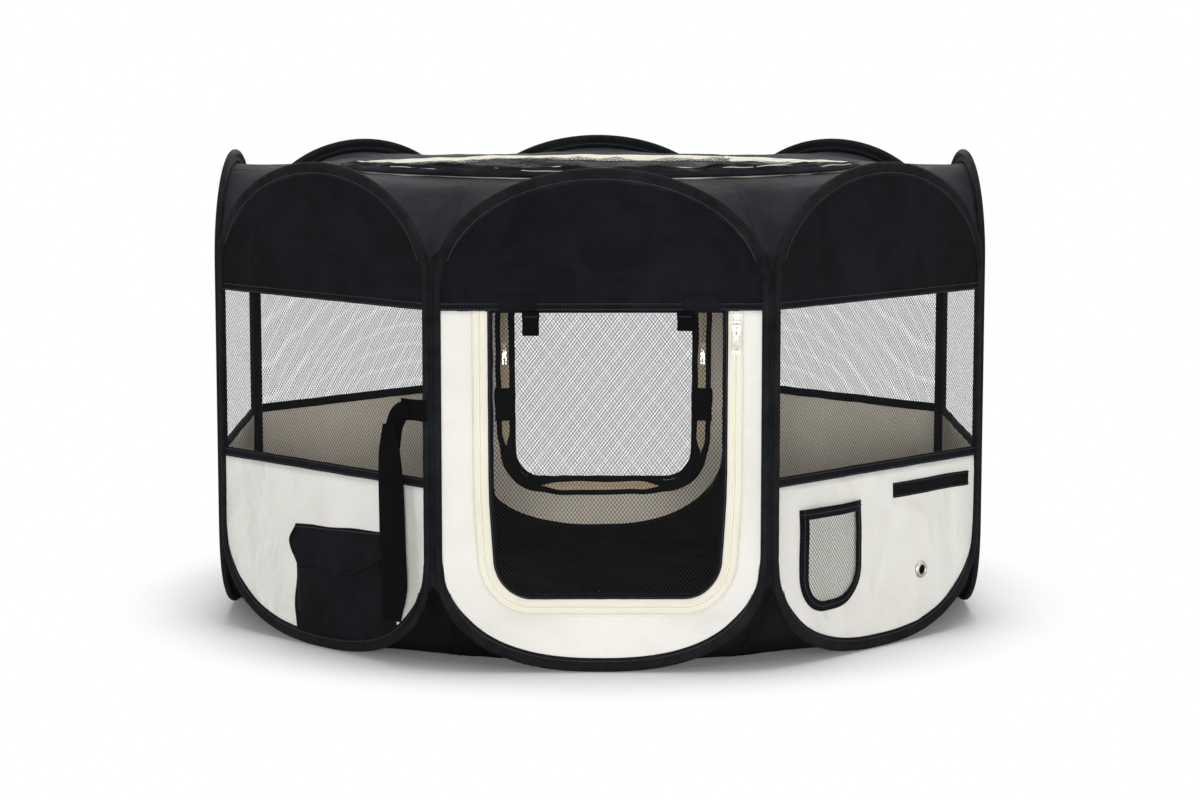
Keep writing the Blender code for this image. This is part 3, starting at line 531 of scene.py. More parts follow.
def loft(rings: Sequence[Line], closed_section: bool, closed_path: bool) -> Shape:
    """Skin a run of sections, with a UV map in metres.

    Args:
        rings: The sections, each with the same number of points.
        closed_section: Whether each section closes.
        closed_path: Whether the run of sections closes.

    Returns:
        The skin. An open run of closed sections gets capped ends.
    """
    rows_of = [list(ring) + ([ring[0]] if closed_section else []) for ring in rings]
    if closed_path:
        rows_of.append(rows_of[0])
    columns, rows = len(rows_of[0]) - 1, len(rows_of) - 1
    around = sum((b - a).length for a, b in zip(rows_of[0], rows_of[0][1:]))
    length = sum((b[0] - a[0]).length for a, b in zip(rows_of, rows_of[1:]))
    shape = bmesh.new()
    layer = shape.loops.layers.uv.new(UV_LAYER)
    bmesh.ops.create_grid(shape, x_segments=columns, y_segments=rows, size=1.0, calc_uvs=True)
    for face in shape.faces:
        face.smooth = True
        for loop in face.loops:
            loop[layer].uv = (loop[layer].uv.x * around, loop[layer].uv.y * length)
    for vert in shape.verts:
        column = round((vert.co.x + 1) / 2 * columns)
        row = round((vert.co.y + 1) / 2 * rows)
        vert.co = rows_of[row][column]
    if closed_section or closed_path:
        bmesh.ops.remove_doubles(shape, verts=shape.verts, dist=WELD)
    if closed_section and not closed_path:
        ends = [edge for edge in shape.edges if edge.is_boundary]
        bmesh.ops.holes_fill(shape, edges=ends, sides=0)
    if closed_section:
        bmesh.ops.recalc_face_normals(shape, faces=shape.faces)
    shape.normal_update()
    return shape


def thicken(shape: Shape, thickness: float) -> Shape:
    """Give a sheet its thickness, with material index 1 on the side that looks into the pen."""
    for face in solid(shape, thickness).faces:
        face.normal_update()
        face.material_index = 1 if face.normal.y > 0.3 else 0
    return shape


def cloth(columns: int, rows: int, place: Place, thickness: float = 0.0) -> Shape:
    """Lay out a sheet of cloth by a rule.

    Args:
        columns: Faces across.
        rows: Faces up.
        place: Gives a point for (across, up), each from -1 to 1.
        thickness: The cloth's thickness, grown inwards, or 0 for a bare sheet.

    Returns:
        The sheet. Its second layer of faces has material index 1.
    """
    rings = [
        [place(2 * column / columns - 1, 2 * row / rows - 1) for column in range(columns + 1)]
        for row in range(rows + 1)
    ]
    shape = loft(rings, False, False)
    return thicken(shape, thickness) if thickness else shape


def strip(half_width: float, back: float, front: float, soft: float) -> list[Vector]:
    """The section of a flat tape with soft edges, as (away from the middle, out of the face)."""
    edge = ((-half_width, back), (-half_width, front - soft), (-half_width + soft * 0.7, front))
    return vectors(*edge, *((-across, out) for across, out in reversed(edge)))


def round_section(radius: float, out: float, sides: int) -> list[Vector]:
    """A round section whose middle is at a height out of the face."""
    turns = [tau / sides * step for step in range(sides)]
    return vectors(*((radius * cos(turn), out + radius * sin(turn)) for turn in turns))


def sweep(
    path: Path,
    section: Line | Callable[[Station], Line],
    away: float = 0.0,
    closed: bool = False,
    face: Face = Face.OUTSIDE,
    shift: Callable[[float], Pair] | None = None,
    swell: Callable[[int], float] | None = None,
) -> Shape:
    """Sweep a section along a path in a panel's face.

    Args:
        path: The stations.
        section: Points as (away from the middle, out of the face), or a rule for them at a station.
        away: How far from the path the section's middle runs.
        closed: Whether the path closes.
        face: The face of the panel it lies on.
        shift: Gives a small (away, out) offset at a distance along the path.
        swell: Gives the section's size at a station's number.

    Returns:
        The swept shape, closed all round.
    """
    rings = []
    for index, station in enumerate(path):
        off_away, off_out = shift(station.distance) if shift else (0.0, 0.0)
        size = swell(index) if swell else 1.0
        outline = section(station) if callable(section) else section
        middle = sum(point.y for point in outline) / len(outline)
        ring = []
        for point in outline:
            spot = station.point + station.outward * (away + off_away + point.x * size)
            out = middle + (point.y - middle) * size + off_out
            ring.append(at(spot.x, face.value * out, spot.y))
        rings.append(ring)
    return loft(rings, True, closed)


def roll(points: Line, radius: float, sides: int = 6) -> Shape:
    """A thin round cord of cloth along points in space."""
    rings = []
    for index, point in enumerate(points):
        ahead = points[min(index + 1, len(points) - 1)] - points[max(index - 1, 0)]
        side = ahead.cross(at(0, 0, 1)).normalized()
        up = side.cross(ahead).normalized()
        turns = [tau * step / sides for step in range(sides)]
        rings.append([point + side * radius * cos(t) + up * radius * sin(t) for t in turns])
    return loft(rings, True, False)


def spline(knots: Line, steps: int) -> list[Vector]:
    """A smooth run of points through knots, with some steps from each knot to the next."""
    ends = [2 * knots[0] - knots[1], *knots, 2 * knots[-1] - knots[-2]]
    points = []
    for a, b, c, d in zip(ends, ends[1:], ends[2:], ends[3:]):
        for step in range(steps):
            t = step / steps
            bend = (c - a) * t + (2 * a - 5 * b + 4 * c - d) * t**2 + (3 * b - a - 3 * c + d) * t**3
            points.append(b + bend / 2)
    return points + [knots[-1].copy()]


@dataclass(frozen=True)
class StitchRow:
    """A row of stitches along a path."""

    length: float = 0.0026
    gap: float = 0.0014
    width: float = 0.0007

    def sew(
        self, path: Path, away: float, out: Callable[[Station], float], face: Face = Face.OUTSIDE
    ) -> Shape:
        """Sew the row.

        Args:
            path: Stations that are one stitch apart.
            away: How far from the path the row runs.
            out: The cloth's height out of the face at a station.
            face: The face of the panel it lies on.

        Returns:
            The stitches.
        """
        shape = blank()
        size = Matrix.Diagonal((self.length, self.width, self.width, 1.0))
        for station in path:
            spot = station.point + station.outward * away
            heading = atan2(station.outward.x, -station.outward.y)
            seat = Matrix.Translation((spot.x, face.value * out(station), spot.y))
            turned = seat @ Matrix.Rotation(-heading, 4, "Y") @ size
            bmesh.ops.create_cube(shape, size=1.0, matrix=turned)
        return shape

    @property
    def pitch(self) -> float:
        """From one stitch to the next."""
        return self.length + self.gap


@dataclass(frozen=True)
class NetCloth:
    """A knitted net of upright diamonds."""

    cell_width: float = 0.00435
    cell_height: float = 0.0057
    strand: float = 0.00049

    def knit(
        self, low: Vector, high: Vector, inside: Callable[[Vector], bool], place: Callable[[Vector], Vector]
    ) -> Shape:
        """Knit a net in the (across, up) plane, and lay it where a rule puts it.

        Args:
            low: The region's lowest corner.
            high: The region's highest corner.
            inside: Whether a cell's middle belongs to the net.
            place: Where a flat point ends up.

        Returns:
            The strands, each cell bordered by half of its strands.
        """
        size = high - low
        cells = ceil(size.x / self.cell_width + size.y / self.cell_height) + 2
        middle = (low + high) / 2
        half = at(self.cell_width / 2, self.cell_height / 2)
        lattice = Matrix(
            ((half.x, half.x, 0, middle.x), (-half.y, half.y, 0, middle.y), (0, 0, 1, 0), (0, 0, 0, 1))
        )
        shape = blank()
        bmesh.ops.create_grid(
            shape, x_segments=cells, y_segments=cells, size=cells / 2, matrix=lattice, calc_uvs=True
        )
        outside = [cell for cell in shape.faces if not inside(cell.calc_center_median().xy)]
        bmesh.ops.delete(shape, geom=outside, context="FACES")
        holes = shape.faces[:]
        bmesh.ops.inset_individual(shape, faces=holes, thickness=self.strand / 2, use_even_offset=True)
        bmesh.ops.delete(shape, geom=holes, context="FACES")
        for vert in shape.verts:
            vert.co = place(vert.co.xy)
        return shape


class Sewn:
    """Gathers shapes that are drawn in one frame, and makes one piece of them."""

    def __init__(self, name: str, place: Matrix = Matrix.Identity(4)) -> None:
        """Start a piece that is drawn in the frame place."""
        self.name = name
        self.place = place
        self.whole = blank()
        self.finishes: list[Material] = []

    def add(self, shape: Shape, *finishes: Material) -> "Sewn":
        """Add a shape, whose material indices are those of the finishes given."""
        slots = []
        for finish in finishes:
            if finish not in self.finishes:
                self.finishes.append(finish)
            slots.append(self.finishes.index(finish))
        for face in shape.faces:
            face.material_index = slots[min(face.material_index, len(slots) - 1)]
        carrier = bpy.data.meshes.new("carrier")
        shape.to_mesh(carrier)
        shape.free()
        self.whole.from_mesh(carrier)
        bpy.data.meshes.remove(carrier)
        return self

    def stitch(
        self, line: Line, away: float, out: float | Callable[[Station], float], thread: object
    ) -> "Sewn":
        """Sew a row of stitches along a line, some way from it, at a height out of the face."""
        row = StitchRow()
        height = out if callable(out) else lambda station: out
        return self.add(row.sew(along(line, row.pitch), away, height), thread)

    def make(self, body: str, slot: str) -> Piece:
        """Make the object, with its place in its mesh.

        Args:
            body: The body it rides on, or nothing for a piece that is left unattached.
            slot: The record's material slot; not used.

        Returns:
            The piece.
        """
        mesh = bpy.data.meshes.new(self.name)
        self.whole.transform(self.place)
        self.whole.to_mesh(mesh)
        self.whole.free()
        for finish in self.finishes:
            mesh.materials.append(finish)
        piece = link(self.name, mesh)
        if body:
            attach(piece, body)
        log.info("%s: %d faces", self.name, len(mesh.polygons))
        return piece


@dataclass(frozen=True)
class Hoop:
    """The outline of a panel's hoop, which every cloth of the panel meets."""

    apothem: float
    panel_width: float = 0.388
    half_width: float = 0.185
    top_base: float = 0.45
    bottom_base: float = 0.13
    rise: float = 0.124
    squareness: float = 2.4
    arc_steps: int = 48

    @classmethod
    def measured(cls) -> "Hoop":
        """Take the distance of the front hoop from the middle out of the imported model."""
        low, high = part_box("front_hoop_spring")
        return cls(apothem=-(low.y + high.y) / 2)

    def top(self, across: float, inset: float = 0.0) -> float:
        """Height of the hoop's top, moved in by inset, at a distance across."""
        share = min(abs(across) / (self.half_width - inset), 1.0)
        return self.top_base + (self.rise - inset) * sqrt(1 - share**2)

    def bottom(self, across: float, inset: float = 0.0) -> float:
        """Height of the hoop's bottom, moved in by inset, at a distance across."""
        share = min(abs(across) / (self.half_width - inset), 1.0)
        curve = (1 - share**self.squareness) ** (1 / self.squareness)
        return self.bottom_base - (self.rise - inset) * curve

    def side(self, up: float) -> float:
        """The hoop's distance across at a height."""
        above, below = up - self.top_base, self.bottom_base - up
        if above > 0:
            return self.half_width * sqrt(max(0.0, 1 - (above / self.rise) ** 2))
        share = min(max(below / self.rise, 0.0), 1.0)
        return self.half_width * (1 - share**self.squareness) ** (1 / self.squareness)

    def loop(self) -> list[Vector]:
        """Points round the hoop, anticlockwise, as (across, up)."""
        points = []
        for step in range(self.arc_steps + 1):
            angle = pi * step / self.arc_steps
            across = self.half_width * cos(angle)
            points.append(at(across, self.top_base + self.rise * sin(angle)))
        power = 2 / self.squareness
        for step in range(self.arc_steps + 1):
            angle = pi * step / self.arc_steps
            swing = copysign(abs(cos(angle)) ** power, cos(angle))
            drop = self.rise * abs(sin(angle)) ** power
            points.append(at(-self.half_width * swing, self.bottom_base - drop))
        return points


@dataclass(frozen=True)
class Panel:
    """One side of the pen: its name, and which eighth of the ring it stands in."""

    name: str
    eighth: int
    hoop: Hoop

    @property
    def body(self) -> str:
        """The body that its pieces ride on."""
        return self.name + "_panel"

    @property
    def place(self) -> Matrix:
        """The panel's frame in the pen."""
        turn = Matrix.Rotation(2 * HALF_TURN * self.eighth, 4, "Z")
        return turn @ Matrix.Translation((0, -self.hoop.apothem, 0))

    def sewn(self, name: str) -> Sewn:
        """Start a piece of this panel."""
        return Sewn(f"{self.name}_{name}", self.place)

    def flatten(self, piece: Piece) -> None:
        """Give a piece of the floor or the roof a mesh of its own."""
        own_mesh(piece)


@dataclass(frozen=True)
class Rim:
    """The cloth sleeve round the hoop's wire, with a stitched flange that lies on the panel's cloth."""

    tube: float = 0.006
    depth: float = 0.0044
    flange: float = 0.0105
    side_flange: float = 0.0026
    shoulder: float = 0.0016
    spacing: float = 0.008
    pucker: float = 0.00035
    seam_room: float = 0.006
    seam_inset: float = 0.0066
    seam_height: float = 0.0025
    stitches: StitchRow = StitchRow()

    def reach(self, station: Station, face: Face) -> float:
        """How far the flange reaches in, which is less at the upright sides and low down inside."""
        slope = abs(station.outward.y) if face is Face.OUTSIDE else station.outward.y
        shoulder = self.shoulder * smooth(slope, 0.0, 0.06) * (1 - smooth(slope, 0.3, 0.6))
        return self.side_flange + shoulder + (self.flange - self.side_flange) * smooth(slope, 0.12, 0.72)

    def half(self, station: Station, face: Face) -> list[Vector]:
        """Half of the section at a station, as (away from the middle, out of the face)."""
        tube, depth, start = self.tube, self.depth, 0.0021
        wide = self.reach(station, face) - start
        gather = self.pucker * rumple(station.distance, station.point.x, 130, 3.0)
        flange = ((0.3, 0.0022 + gather), (0.44, 0.0025 - gather), (0.92, 0.0022 + gather), (1.0, 0.0015))
        return vectors(
            (tube - 0.0004, 0.0019), (tube - 0.0017, 0.0034), (tube - 0.0038, depth - 0.0001),
            (0.0005, depth), (-0.0014, depth - 0.0007 + gather),
            *((-(start + wide * share), out) for share, out in flange),
        )

    def section(self, station: Station) -> list[Vector]:
        """The whole section at a station."""
        back = [at(point.x, -point.y) for point in reversed(self.half(station, Face.INSIDE))]
        return [at(self.tube, 0.0)] + self.half(station, Face.OUTSIDE) + back

    def build(self, panel: Panel, finishes: Finishes) -> None:
        """Make the rim with its row of stitches."""
        path = along(panel.hoop.loop(), self.spacing, closed=True)
        seam = along(panel.hoop.loop(), self.stitches.pitch, closed=True)
        rim = panel.sewn("rim").add(sweep(path, self.section, closed=True), finishes.rim)
        for face in Face:
            wide = [station for station in seam if self.reach(station, face) > self.seam_room]
            row = self.stitches.sew(wide, -self.seam_inset, lambda station: self.seam_height, face)
            rim.add(row, finishes.black_thread)
        made = rim.make(panel.body, "black_cloth")
        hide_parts(panel.name + "_hoop_sleeve")


@dataclass(frozen=True)
class PanelCloth:
    """Sizes that the cloths of every panel share."""

    half_width: float = 0.1846
    edge_inset: float = 0.0004
    band_seam: float = 0.418
    skirt_top: float = 0.213
    cloth: float = 0.0009
    columns: int = 44

    def across(self, share: float) -> float:
        """A distance across for a share from -1 to 1, closer together at the sides."""
        return self.half_width * sin(share * pi / 2)


@dataclass(frozen=True)
class UpperBand:
    """The black cloth at the top of a panel, with a folded hem along its lower seam."""

    sizes: PanelCloth
    rows: int = 18
    belly: float = 0.0022
    crumple: float = 0.0016
    hem_height: float = 0.0095

    def build(self, panel: Panel, finishes: Finishes) -> None:
        """Make the band."""
        sizes = self.sizes

        def place(share: float, rise: float) -> Vector:
            """Where a point lies."""
            across = sizes.across(share)
            top = panel.hoop.top(across, sizes.edge_inset)
            up = sizes.band_seam + (top - sizes.band_seam) * (rise + 1) / 2
            held = (1 - share**2) * (1 - abs(rise) ** 3)
            crease = rumple(across * 1.6, up * 0.8, 14, panel.eighth + 0.5)
            slack = rumple(across, up * 2.2, 34, panel.eighth + 9.0) * 0.5
            out = self.belly * held + self.crumple * (crease + slack) * min(held * 3, 1)
            return at(across, -0.0005 - out, up)

        band = panel.sewn("upper_band")
        band.add(cloth(sizes.columns, self.rows, place, sizes.cloth), finishes.black)
        low = sizes.band_seam + self.hem_height / 2
        reach = sizes.half_width
        line = flat_line(-reach, reach, low)
        hem = along(line, STEP)

        def sway(distance: float) -> Pair:
            """The hem's small waves."""
            return 0.0004 * rumple(distance, 0, 30, panel.eighth), 0.0003 * rumple(distance, 1, 60, 2.0)

        section = strip(self.hem_height / 2, -0.0012, 0.0019, 0.0006)
        band.add(sweep(hem, section, shift=sway), finishes.black)
        for row in (-0.0032, 0.0032):
            band.stitch(line, row, 0.0019, finishes.black_thread)
        made = band.make(panel.body, "black_cloth")
        height = panel.hoop.top(0) - sizes.band_seam


@dataclass(frozen=True)
class Skirt:
    """The cream cloth at the bottom of a panel, with its inner face in a paler beige as painted light, and
    the black binding on its top edge.
    """

    sizes: PanelCloth
    rows: int = 22
    belly: float = 0.0025
    crumple: float = 0.0018
    binding_height: float = 0.0115

    def out(self, panel: Panel, across: float, up: float) -> float:
        """How far the cloth's outer face stands out of the panel's plane.

        Args:
            panel: The panel.
            across: A distance across it.
            up: A height.

        Returns:
            The distance.
        """
        low = panel.hoop.bottom(across, self.sizes.edge_inset)
        rise = min(max(2 * (up - low) / (self.sizes.skirt_top - low) - 1, -1.0), 1.0)
        share = min(max(across / self.sizes.half_width, -1.0), 1.0)
        share = asin(share) / (pi / 2)
        held = (1 - share**2) * (1 - abs(rise) ** 3)
        crease = rumple(across * 2.4, up * 0.9, 15, panel.eighth + 20.5)
        slack = rumple(across + up, up - across, 21, panel.eighth + 31.0) * 0.6
        return 0.0003 + self.belly * held + self.crumple * (crease + slack) * min(held * 3, 1)

    def build(self, panel: Panel, finishes: Finishes) -> None:
        """Make the skirt."""
        sizes = self.sizes

        def place(share: float, rise: float) -> Vector:
            """Where a point lies."""
            across = sizes.across(share)
            low = panel.hoop.bottom(across, sizes.edge_inset)
            up = low + (sizes.skirt_top - low) * (rise + 1) / 2
            return at(across, -self.out(panel, across, up), up)

        skirt = panel.sewn("skirt_cloth")
        # The skirt's inner face takes the paler beige: painted light for the glow through the cloth.
        skirt.add(cloth(sizes.columns, self.rows, place, sizes.cloth), finishes.cream, finishes.lining)
        made = skirt.make(panel.body, "cream_cloth")
        reach = sizes.half_width
        height = sizes.skirt_top - panel.hoop.bottom(0)
        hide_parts(panel.name + "_skirt")

        half = self.binding_height / 2
        line = flat_line(-reach, reach, sizes.skirt_top + half)

        def sway(distance: float) -> Pair:
            """The binding's waves, larger on the two panels at the sides."""
            wave = 0.0016 if panel.eighth in (2, 6) else 0.0006
            return wave * rumple(distance, 0, 24, panel.eighth + 4.0), 0.0

        slim = half - 0.0008
        section = vectors(
            (-half, 0.0009), (-slim, 0.0016), (slim, 0.0016), (half, 0.0006),
            (half, -0.0006), (slim, -0.0018), (-slim, -0.0018), (-half, -0.0013),
        )
        binding = panel.sewn("net_binding")
        binding.add(sweep(along(line, STEP), section, shift=sway), finishes.black)
        for row in (-half + 0.002, half - 0.002):
            binding.stitch(line, row, 0.0016, finishes.black_thread)
        binding.make(panel.body, "black_cloth")


@dataclass(frozen=True)
class NetWindow:
    """The net between the skirt and the upper band."""

    sizes: PanelCloth
    net: NetCloth
    belly: float = 0.0016

    def build(self, panel: Panel, finishes: Finishes) -> None:
        """Make the window."""
        sizes = self.sizes
        low = at(-sizes.half_width, sizes.skirt_top)
        high = at(sizes.half_width, sizes.band_seam + 0.003)

        def inside(middle: Vector) -> bool:
            """Whether a cell is in the window."""
            return low.x < middle.x < high.x and low.y < middle.y < high.y

        def place(flat: Vector) -> Vector:
            """Where a point lies."""
            share = max(0.0, 1 - (flat.x / sizes.half_width) ** 2)
            rise = (flat.y - low.y) / (high.y - low.y)
            belly = self.belly * share * sin(pi * min(max(rise, 0), 1))
            ripple = 0.0008 * share * rumple(flat.x, flat.y, 18, panel.eighth + 40.0)
            return at(flat.x, -belly - ripple, flat.y)

        window = panel.sewn("net_window")
        window.add(self.net.knit(low, high, inside, place), finishes.net)
        made = window.make(panel.body, "net")
        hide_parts(panel.name + "_mesh_window")


@dataclass(frozen=True)
class DoorShape:
    """The outline of a door: straight sides and two round lower corners."""

    centre: float
    half_width: float = 0.1468
    bottom: float = 0.074
    radius: float = 0.052
    top: float = 0.4175
    draw_left: float = 0.0
    draw_right: float = 0.0
    flare: float = 0.0
    draw_low: float = 0.0
    corner_steps: int = 18

    def drawn(self, point: Vector, way: float = 1.0) -> Vector:
        """Pull a point towards the middle, as the cloth draws the door's two sides in.

        Args:
            point: A point as (across, up).
            way: 1 to pull it in, -1 to undo that.

        Returns:
            The moved point.
        """
        off = point.x - self.centre
        drop = (self.top - point.y) / (self.top - self.bottom)
        pull = self.draw_left if off < 0 else self.draw_right
        pull += self.draw_low * max(0.0, drop / 0.4 - 1.5) ** 1.2 - self.flare * min(drop, 0.6)
        share = min(max(off / self.half_width, -1.0), 1.0)
        return at(point.x - way * pull * share, point.y)

    def line(self, away: float) -> list[Vector]:
        """The outline moved away from the middle, from the top left round to the top right."""
        half, low, radius = self.half_width + away, self.bottom - away, self.radius + away
        rises = [low + radius + (self.top - low - radius) * step / 12 for step in range(12, 0, -1)]
        points = [at(self.centre - half, up) for up in rises]
        for side, first in ((-1, pi), (1, 1.5 * pi)):
            middle = self.centre + side * (half - radius)
            for step in range(self.corner_steps + 1):
                angle = first + pi / 2 * step / self.corner_steps
                turned = at(cos(angle), sin(angle)) * radius
                points.append(at(middle, low + radius) + turned)
        points += [at(self.centre + half, up) for up in reversed(rises)]
        return [self.drawn(point) for point in points]

    def holds(self, point: Vector, away: float) -> bool:
        """Whether a point lies inside the outline moved away from the middle."""
        point = self.drawn(point, -1.0)
        half, low, radius = self.half_width + away, self.bottom - away, self.radius + away
        beyond = abs(point.x - self.centre) - (half - radius)
        below = low + radius - point.y
        if beyond > 0 and below > 0:
            return hypot(beyond, below) < radius
        return beyond < radius and below < radius


@dataclass(frozen=True)
class Door:
    """A net door in a zip, in its cream surround."""

    sizes: PanelCloth
    net: NetCloth
    tape: float = 0.009
    binding: float = 0.006
    lap: float = 0.0076
    lap_wave: float = 0.0017
    tab_inset: float = 0.0583
    patch_across: float = 0.1047
    coil: float = 0.0011
    close_reach: float = 0.0058
    close_swell: float = 52

    def surround(self, panel: Panel, shape: DoorShape, finishes: Finishes) -> None:
        """Make the cream surround with its half of the zip."""
        sizes = self.sizes
        inner = shape.line(self.tape * 0.5)
        stations = along(inner, 0.007)

        def outer_point(station: Station) -> Vector:
            """The place on the hoop that faces a station of the opening."""
            spot = station.point
            if spot.y > panel.hoop.bottom_base:
                side = copysign(sizes.half_width, spot.x - shape.centre)
                return at(side, spot.y)
            angle = atan2(panel.hoop.bottom_base - spot.y, spot.x)
            power = 2 / panel.hoop.squareness
            reach = panel.hoop.half_width - sizes.edge_inset
            rise = panel.hoop.rise - sizes.edge_inset
            swing = copysign(abs(cos(angle)) ** power, cos(angle))
            return at(reach * swing, panel.hoop.bottom_base - rise * abs(sin(angle)) ** power)

        steps = 12
        rings = []
        for station in stations:
            outer = outer_point(station)
            ring = []
            for step in range(steps + 1):
                share = step / steps
                spot = station.point.lerp(outer, share)
                slack = rumple(spot.x * 1.3, spot.y, 17, panel.eighth + 50.0)
                slack += 0.6 * rumple(spot.x, spot.y, 45, panel.eighth + 57.0)
                out = 0.0004 + (0.0011 + 0.0013 * slack) * sin(pi * share)
                ring.append(at(spot.x, -out, spot.y))
            rings.append(ring)
        skin = thicken(loft(rings, False, False), sizes.cloth)
        # The surround's inner face takes the paler beige: painted light for the glow through the cloth.
        made = panel.sewn("surround_cloth").add(skin, finishes.cream, finishes.lining)
        cloth_piece = made.make(panel.body, "cream_cloth")
        low = panel.hoop.bottom(0)
        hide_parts(panel.name + "_door_surround")

        trim = panel.sewn("surround_zip_tape")
        path = along(shape.line(0.0), STEP)
        self.add_tape(trim, path, 1, 0.0016, finishes)
        trim.add(sweep(path, round_section(0.0009, 0.0016, 6), self.tape - 0.0012), finishes.tape)
        self.add_coil(trim, shape, 0.0004 + self.coil, finishes)
        for row, out in ((self.tape - 0.0028, 0.0014), (self.tape + 0.0018, 0.0017)):
            trim.stitch(shape.line(0.0), row, out, finishes.cream_thread)
        trim.make(panel.body, "zip_tape")

        inside = panel.sewn("surround_inner_binding")
        self.add_lap(inside, shape, 0.0094, (0.0006, 0.002), panel.eighth + 110.0, finishes)
        for side in (-1, 1):
            edge = shape.drawn(at(shape.centre + side * shape.half_width, 0.19))
            self.inner_tab(inside, edge.x, finishes)
        inside.make(panel.body, "black_cloth")

    def closing(self, shape: DoorShape, distance: float) -> float:
        """How far a binding closes over the zip, most at the two lower corners."""
        straight = shape.top - shape.bottom - shape.radius
        whole = 2 * straight + pi * shape.radius + 2 * (shape.half_width - shape.radius)
        from_end = min(distance, whole - distance)
        rise = smooth(from_end, straight - 0.02, straight + 0.012)
        fall = 1 - smooth(from_end, straight + pi / 2 * shape.radius, straight + 0.118)
        return self.close_reach * rise * fall

    def add_tape(
        self, piece: Sewn, path: Path, side: int, front: float, finishes: Finishes
    ) -> None:
        """Add the zip tape on one side of the teeth, and its back, to a height out of the face."""
        half = self.tape / 2
        piece.add(sweep(path, strip(half, -0.0007, front, 0.0003), side * half), finishes.tape)
        back = strip(half - 0.0002, 0.0004, 0.001, 0.0002)
        piece.add(sweep(path, back, side * half, face=Face.INSIDE), finishes.tape_back)

    def add_lap(
        self, piece: Sewn, shape: DoorShape, away: float, out: tuple, seed: float, finishes: Finishes
    ) -> None:
        """Add the inner binding that closes over the zip from one side.

        Args:
            piece: The piece that gets it.
            shape: The door's outline.
            away: How far from the outline it runs, below 0 on the leaf.
            out: Its back and its front, out of the face.
            seed: Picks its waves.
            finishes: The materials.
        """
        path = along(shape.line(0.0), FINE_STEP)
        way = copysign(1, away)

        def close(distance: float) -> Pair:
            """How far it moves over the zip at a distance along the edge."""
            return self.lap_wave * rumple(distance, 0, 27, seed) - way * self.closing(shape, distance), 0.0

        def wide(index: int) -> float:
            """Its size at a station, larger where it closes over the zip."""
            return 1 + self.close_swell * self.closing(shape, path[index].distance)

        section = strip(self.lap / 2, *out, 0.0005)
        piece.add(sweep(path, section, away, face=Face.INSIDE, shift=close, swell=wide), finishes.black)

    def inner_tab(self, piece: Sewn, across: float, finishes: Finishes) -> None:
        """Add the wide tab that covers the zip half way up on the inside."""
        half_width, low, high = 0.0148, 0.165, 0.213

        def place(share: float, rise: float) -> Vector:
            """Where a point lies."""
            slack = 0.0006 * sin(5 * share + 3 * rise)
            taper = 1 + 0.05 * sin(3.3 * rise)
            up = (low + high) / 2 + (high - low) / 2 * rise
            return at(across - half_width * taper * share, 0.003 + slack, up)

        piece.add(cloth(8, 10, place, 0.0012), finishes.webbing)

    def add_coil(self, piece: Sewn, shape: DoorShape, away: float, finishes: Finishes) -> None:
        """Add a coil of zip teeth along the door's edge."""
        teeth = along(shape.line(away), 0.0014)

        def tooth(index: int) -> float:
            """The coil's size at a station."""
            return 1.0 if index % 2 else 0.68

        section = round_section(self.coil, 0.0016, 6)
        piece.add(sweep(teeth, section, swell=tooth), finishes.coil)

    def leaf(self, panel: Panel, shape: DoorShape, finishes: Finishes) -> None:
        """Make the leaf: the net, its black binding, its half of the zip and its tie tabs."""
        name = panel.name + "_door"
        inner = -self.tape - self.binding * 0.5
        low = at(shape.centre - shape.half_width, shape.bottom)
        high = at(shape.centre + shape.half_width, shape.top - 0.001)

        def inside(middle: Vector) -> bool:
            """Whether a cell is in the door."""
            return middle.y < high.y and shape.holds(middle, inner)

        def place(flat: Vector) -> Vector:
            """Where a point lies."""
            share = max(0.0, 1 - ((flat.x - shape.centre) / shape.half_width) ** 2)
            rise = min(max((flat.y - low.y) / (high.y - low.y), 0), 1)
            belly = 0.0012 * share * sin(pi * rise)
            ripple = 0.001 * share * rumple(flat.x, flat.y, 14, panel.eighth + 60.0)
            return at(flat.x, -belly - ripple, flat.y)

        net = Sewn(name + "_net", panel.place)
        net.add(self.net.knit(low, high, inside, place), finishes.net)
        piece = net.make(name, "net")
        size = high - low
        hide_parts(name + "_mesh")

        trim = Sewn(name + "_trim", panel.place)
        self.add_tape(trim, along(shape.line(0.0), STEP), -1, 0.0014, finishes)
        edge = strip(self.binding / 2, -0.0007, 0.0015, 0.0005)

        def ravel(distance: float) -> Pair:
            """The small waves of the net's black edge."""
            return 0.0007 * rumple(distance, 0, 62, panel.eighth + 130.0), 0.0

        fine = along(shape.line(0.0), FINE_STEP)
        trim.add(sweep(fine, edge, -self.tape - self.binding / 2, shift=ravel), finishes.black)
        self.add_lap(trim, shape, -0.01, (0.0004, 0.0017), panel.eighth + 120.0, finishes)
        self.add_coil(trim, shape, -0.0004 - self.coil, finishes)
        trim.stitch(shape.line(0.0), -0.0052, 0.0015, finishes.cream_thread)
        trim.stitch(shape.line(0.0), -0.0108, 0.0016, finishes.black_thread)
        line = flat_line(low.x + 0.004, high.x - 0.004, shape.top - 0.0008)
        head = strip(0.0012, -0.001, 0.0006, 0.0003)
        trim.add(sweep(along(line, 0.008), head), finishes.black)
        trim.make(name, "black_cloth")

        for side, label, size in ((-1, "left", (0.0198, 0.028)), (1, "right", (0.0186, 0.0226))):
            edge = shape.drawn(at(shape.centre + side * shape.half_width, shape.top))
            across = edge.x - side * self.tab_inset
            self.tie_tab(panel, name, label, at(across, shape.top), size, finishes)

    def tie_tab(
        self, panel: Panel, name: str, label: str, seat: Vector, size: tuple, finishes: Finishes
    ) -> None:
        """Make a tab that ties the rolled door up."""
        across, top = seat
        half, length = size[0] / 2, size[1]

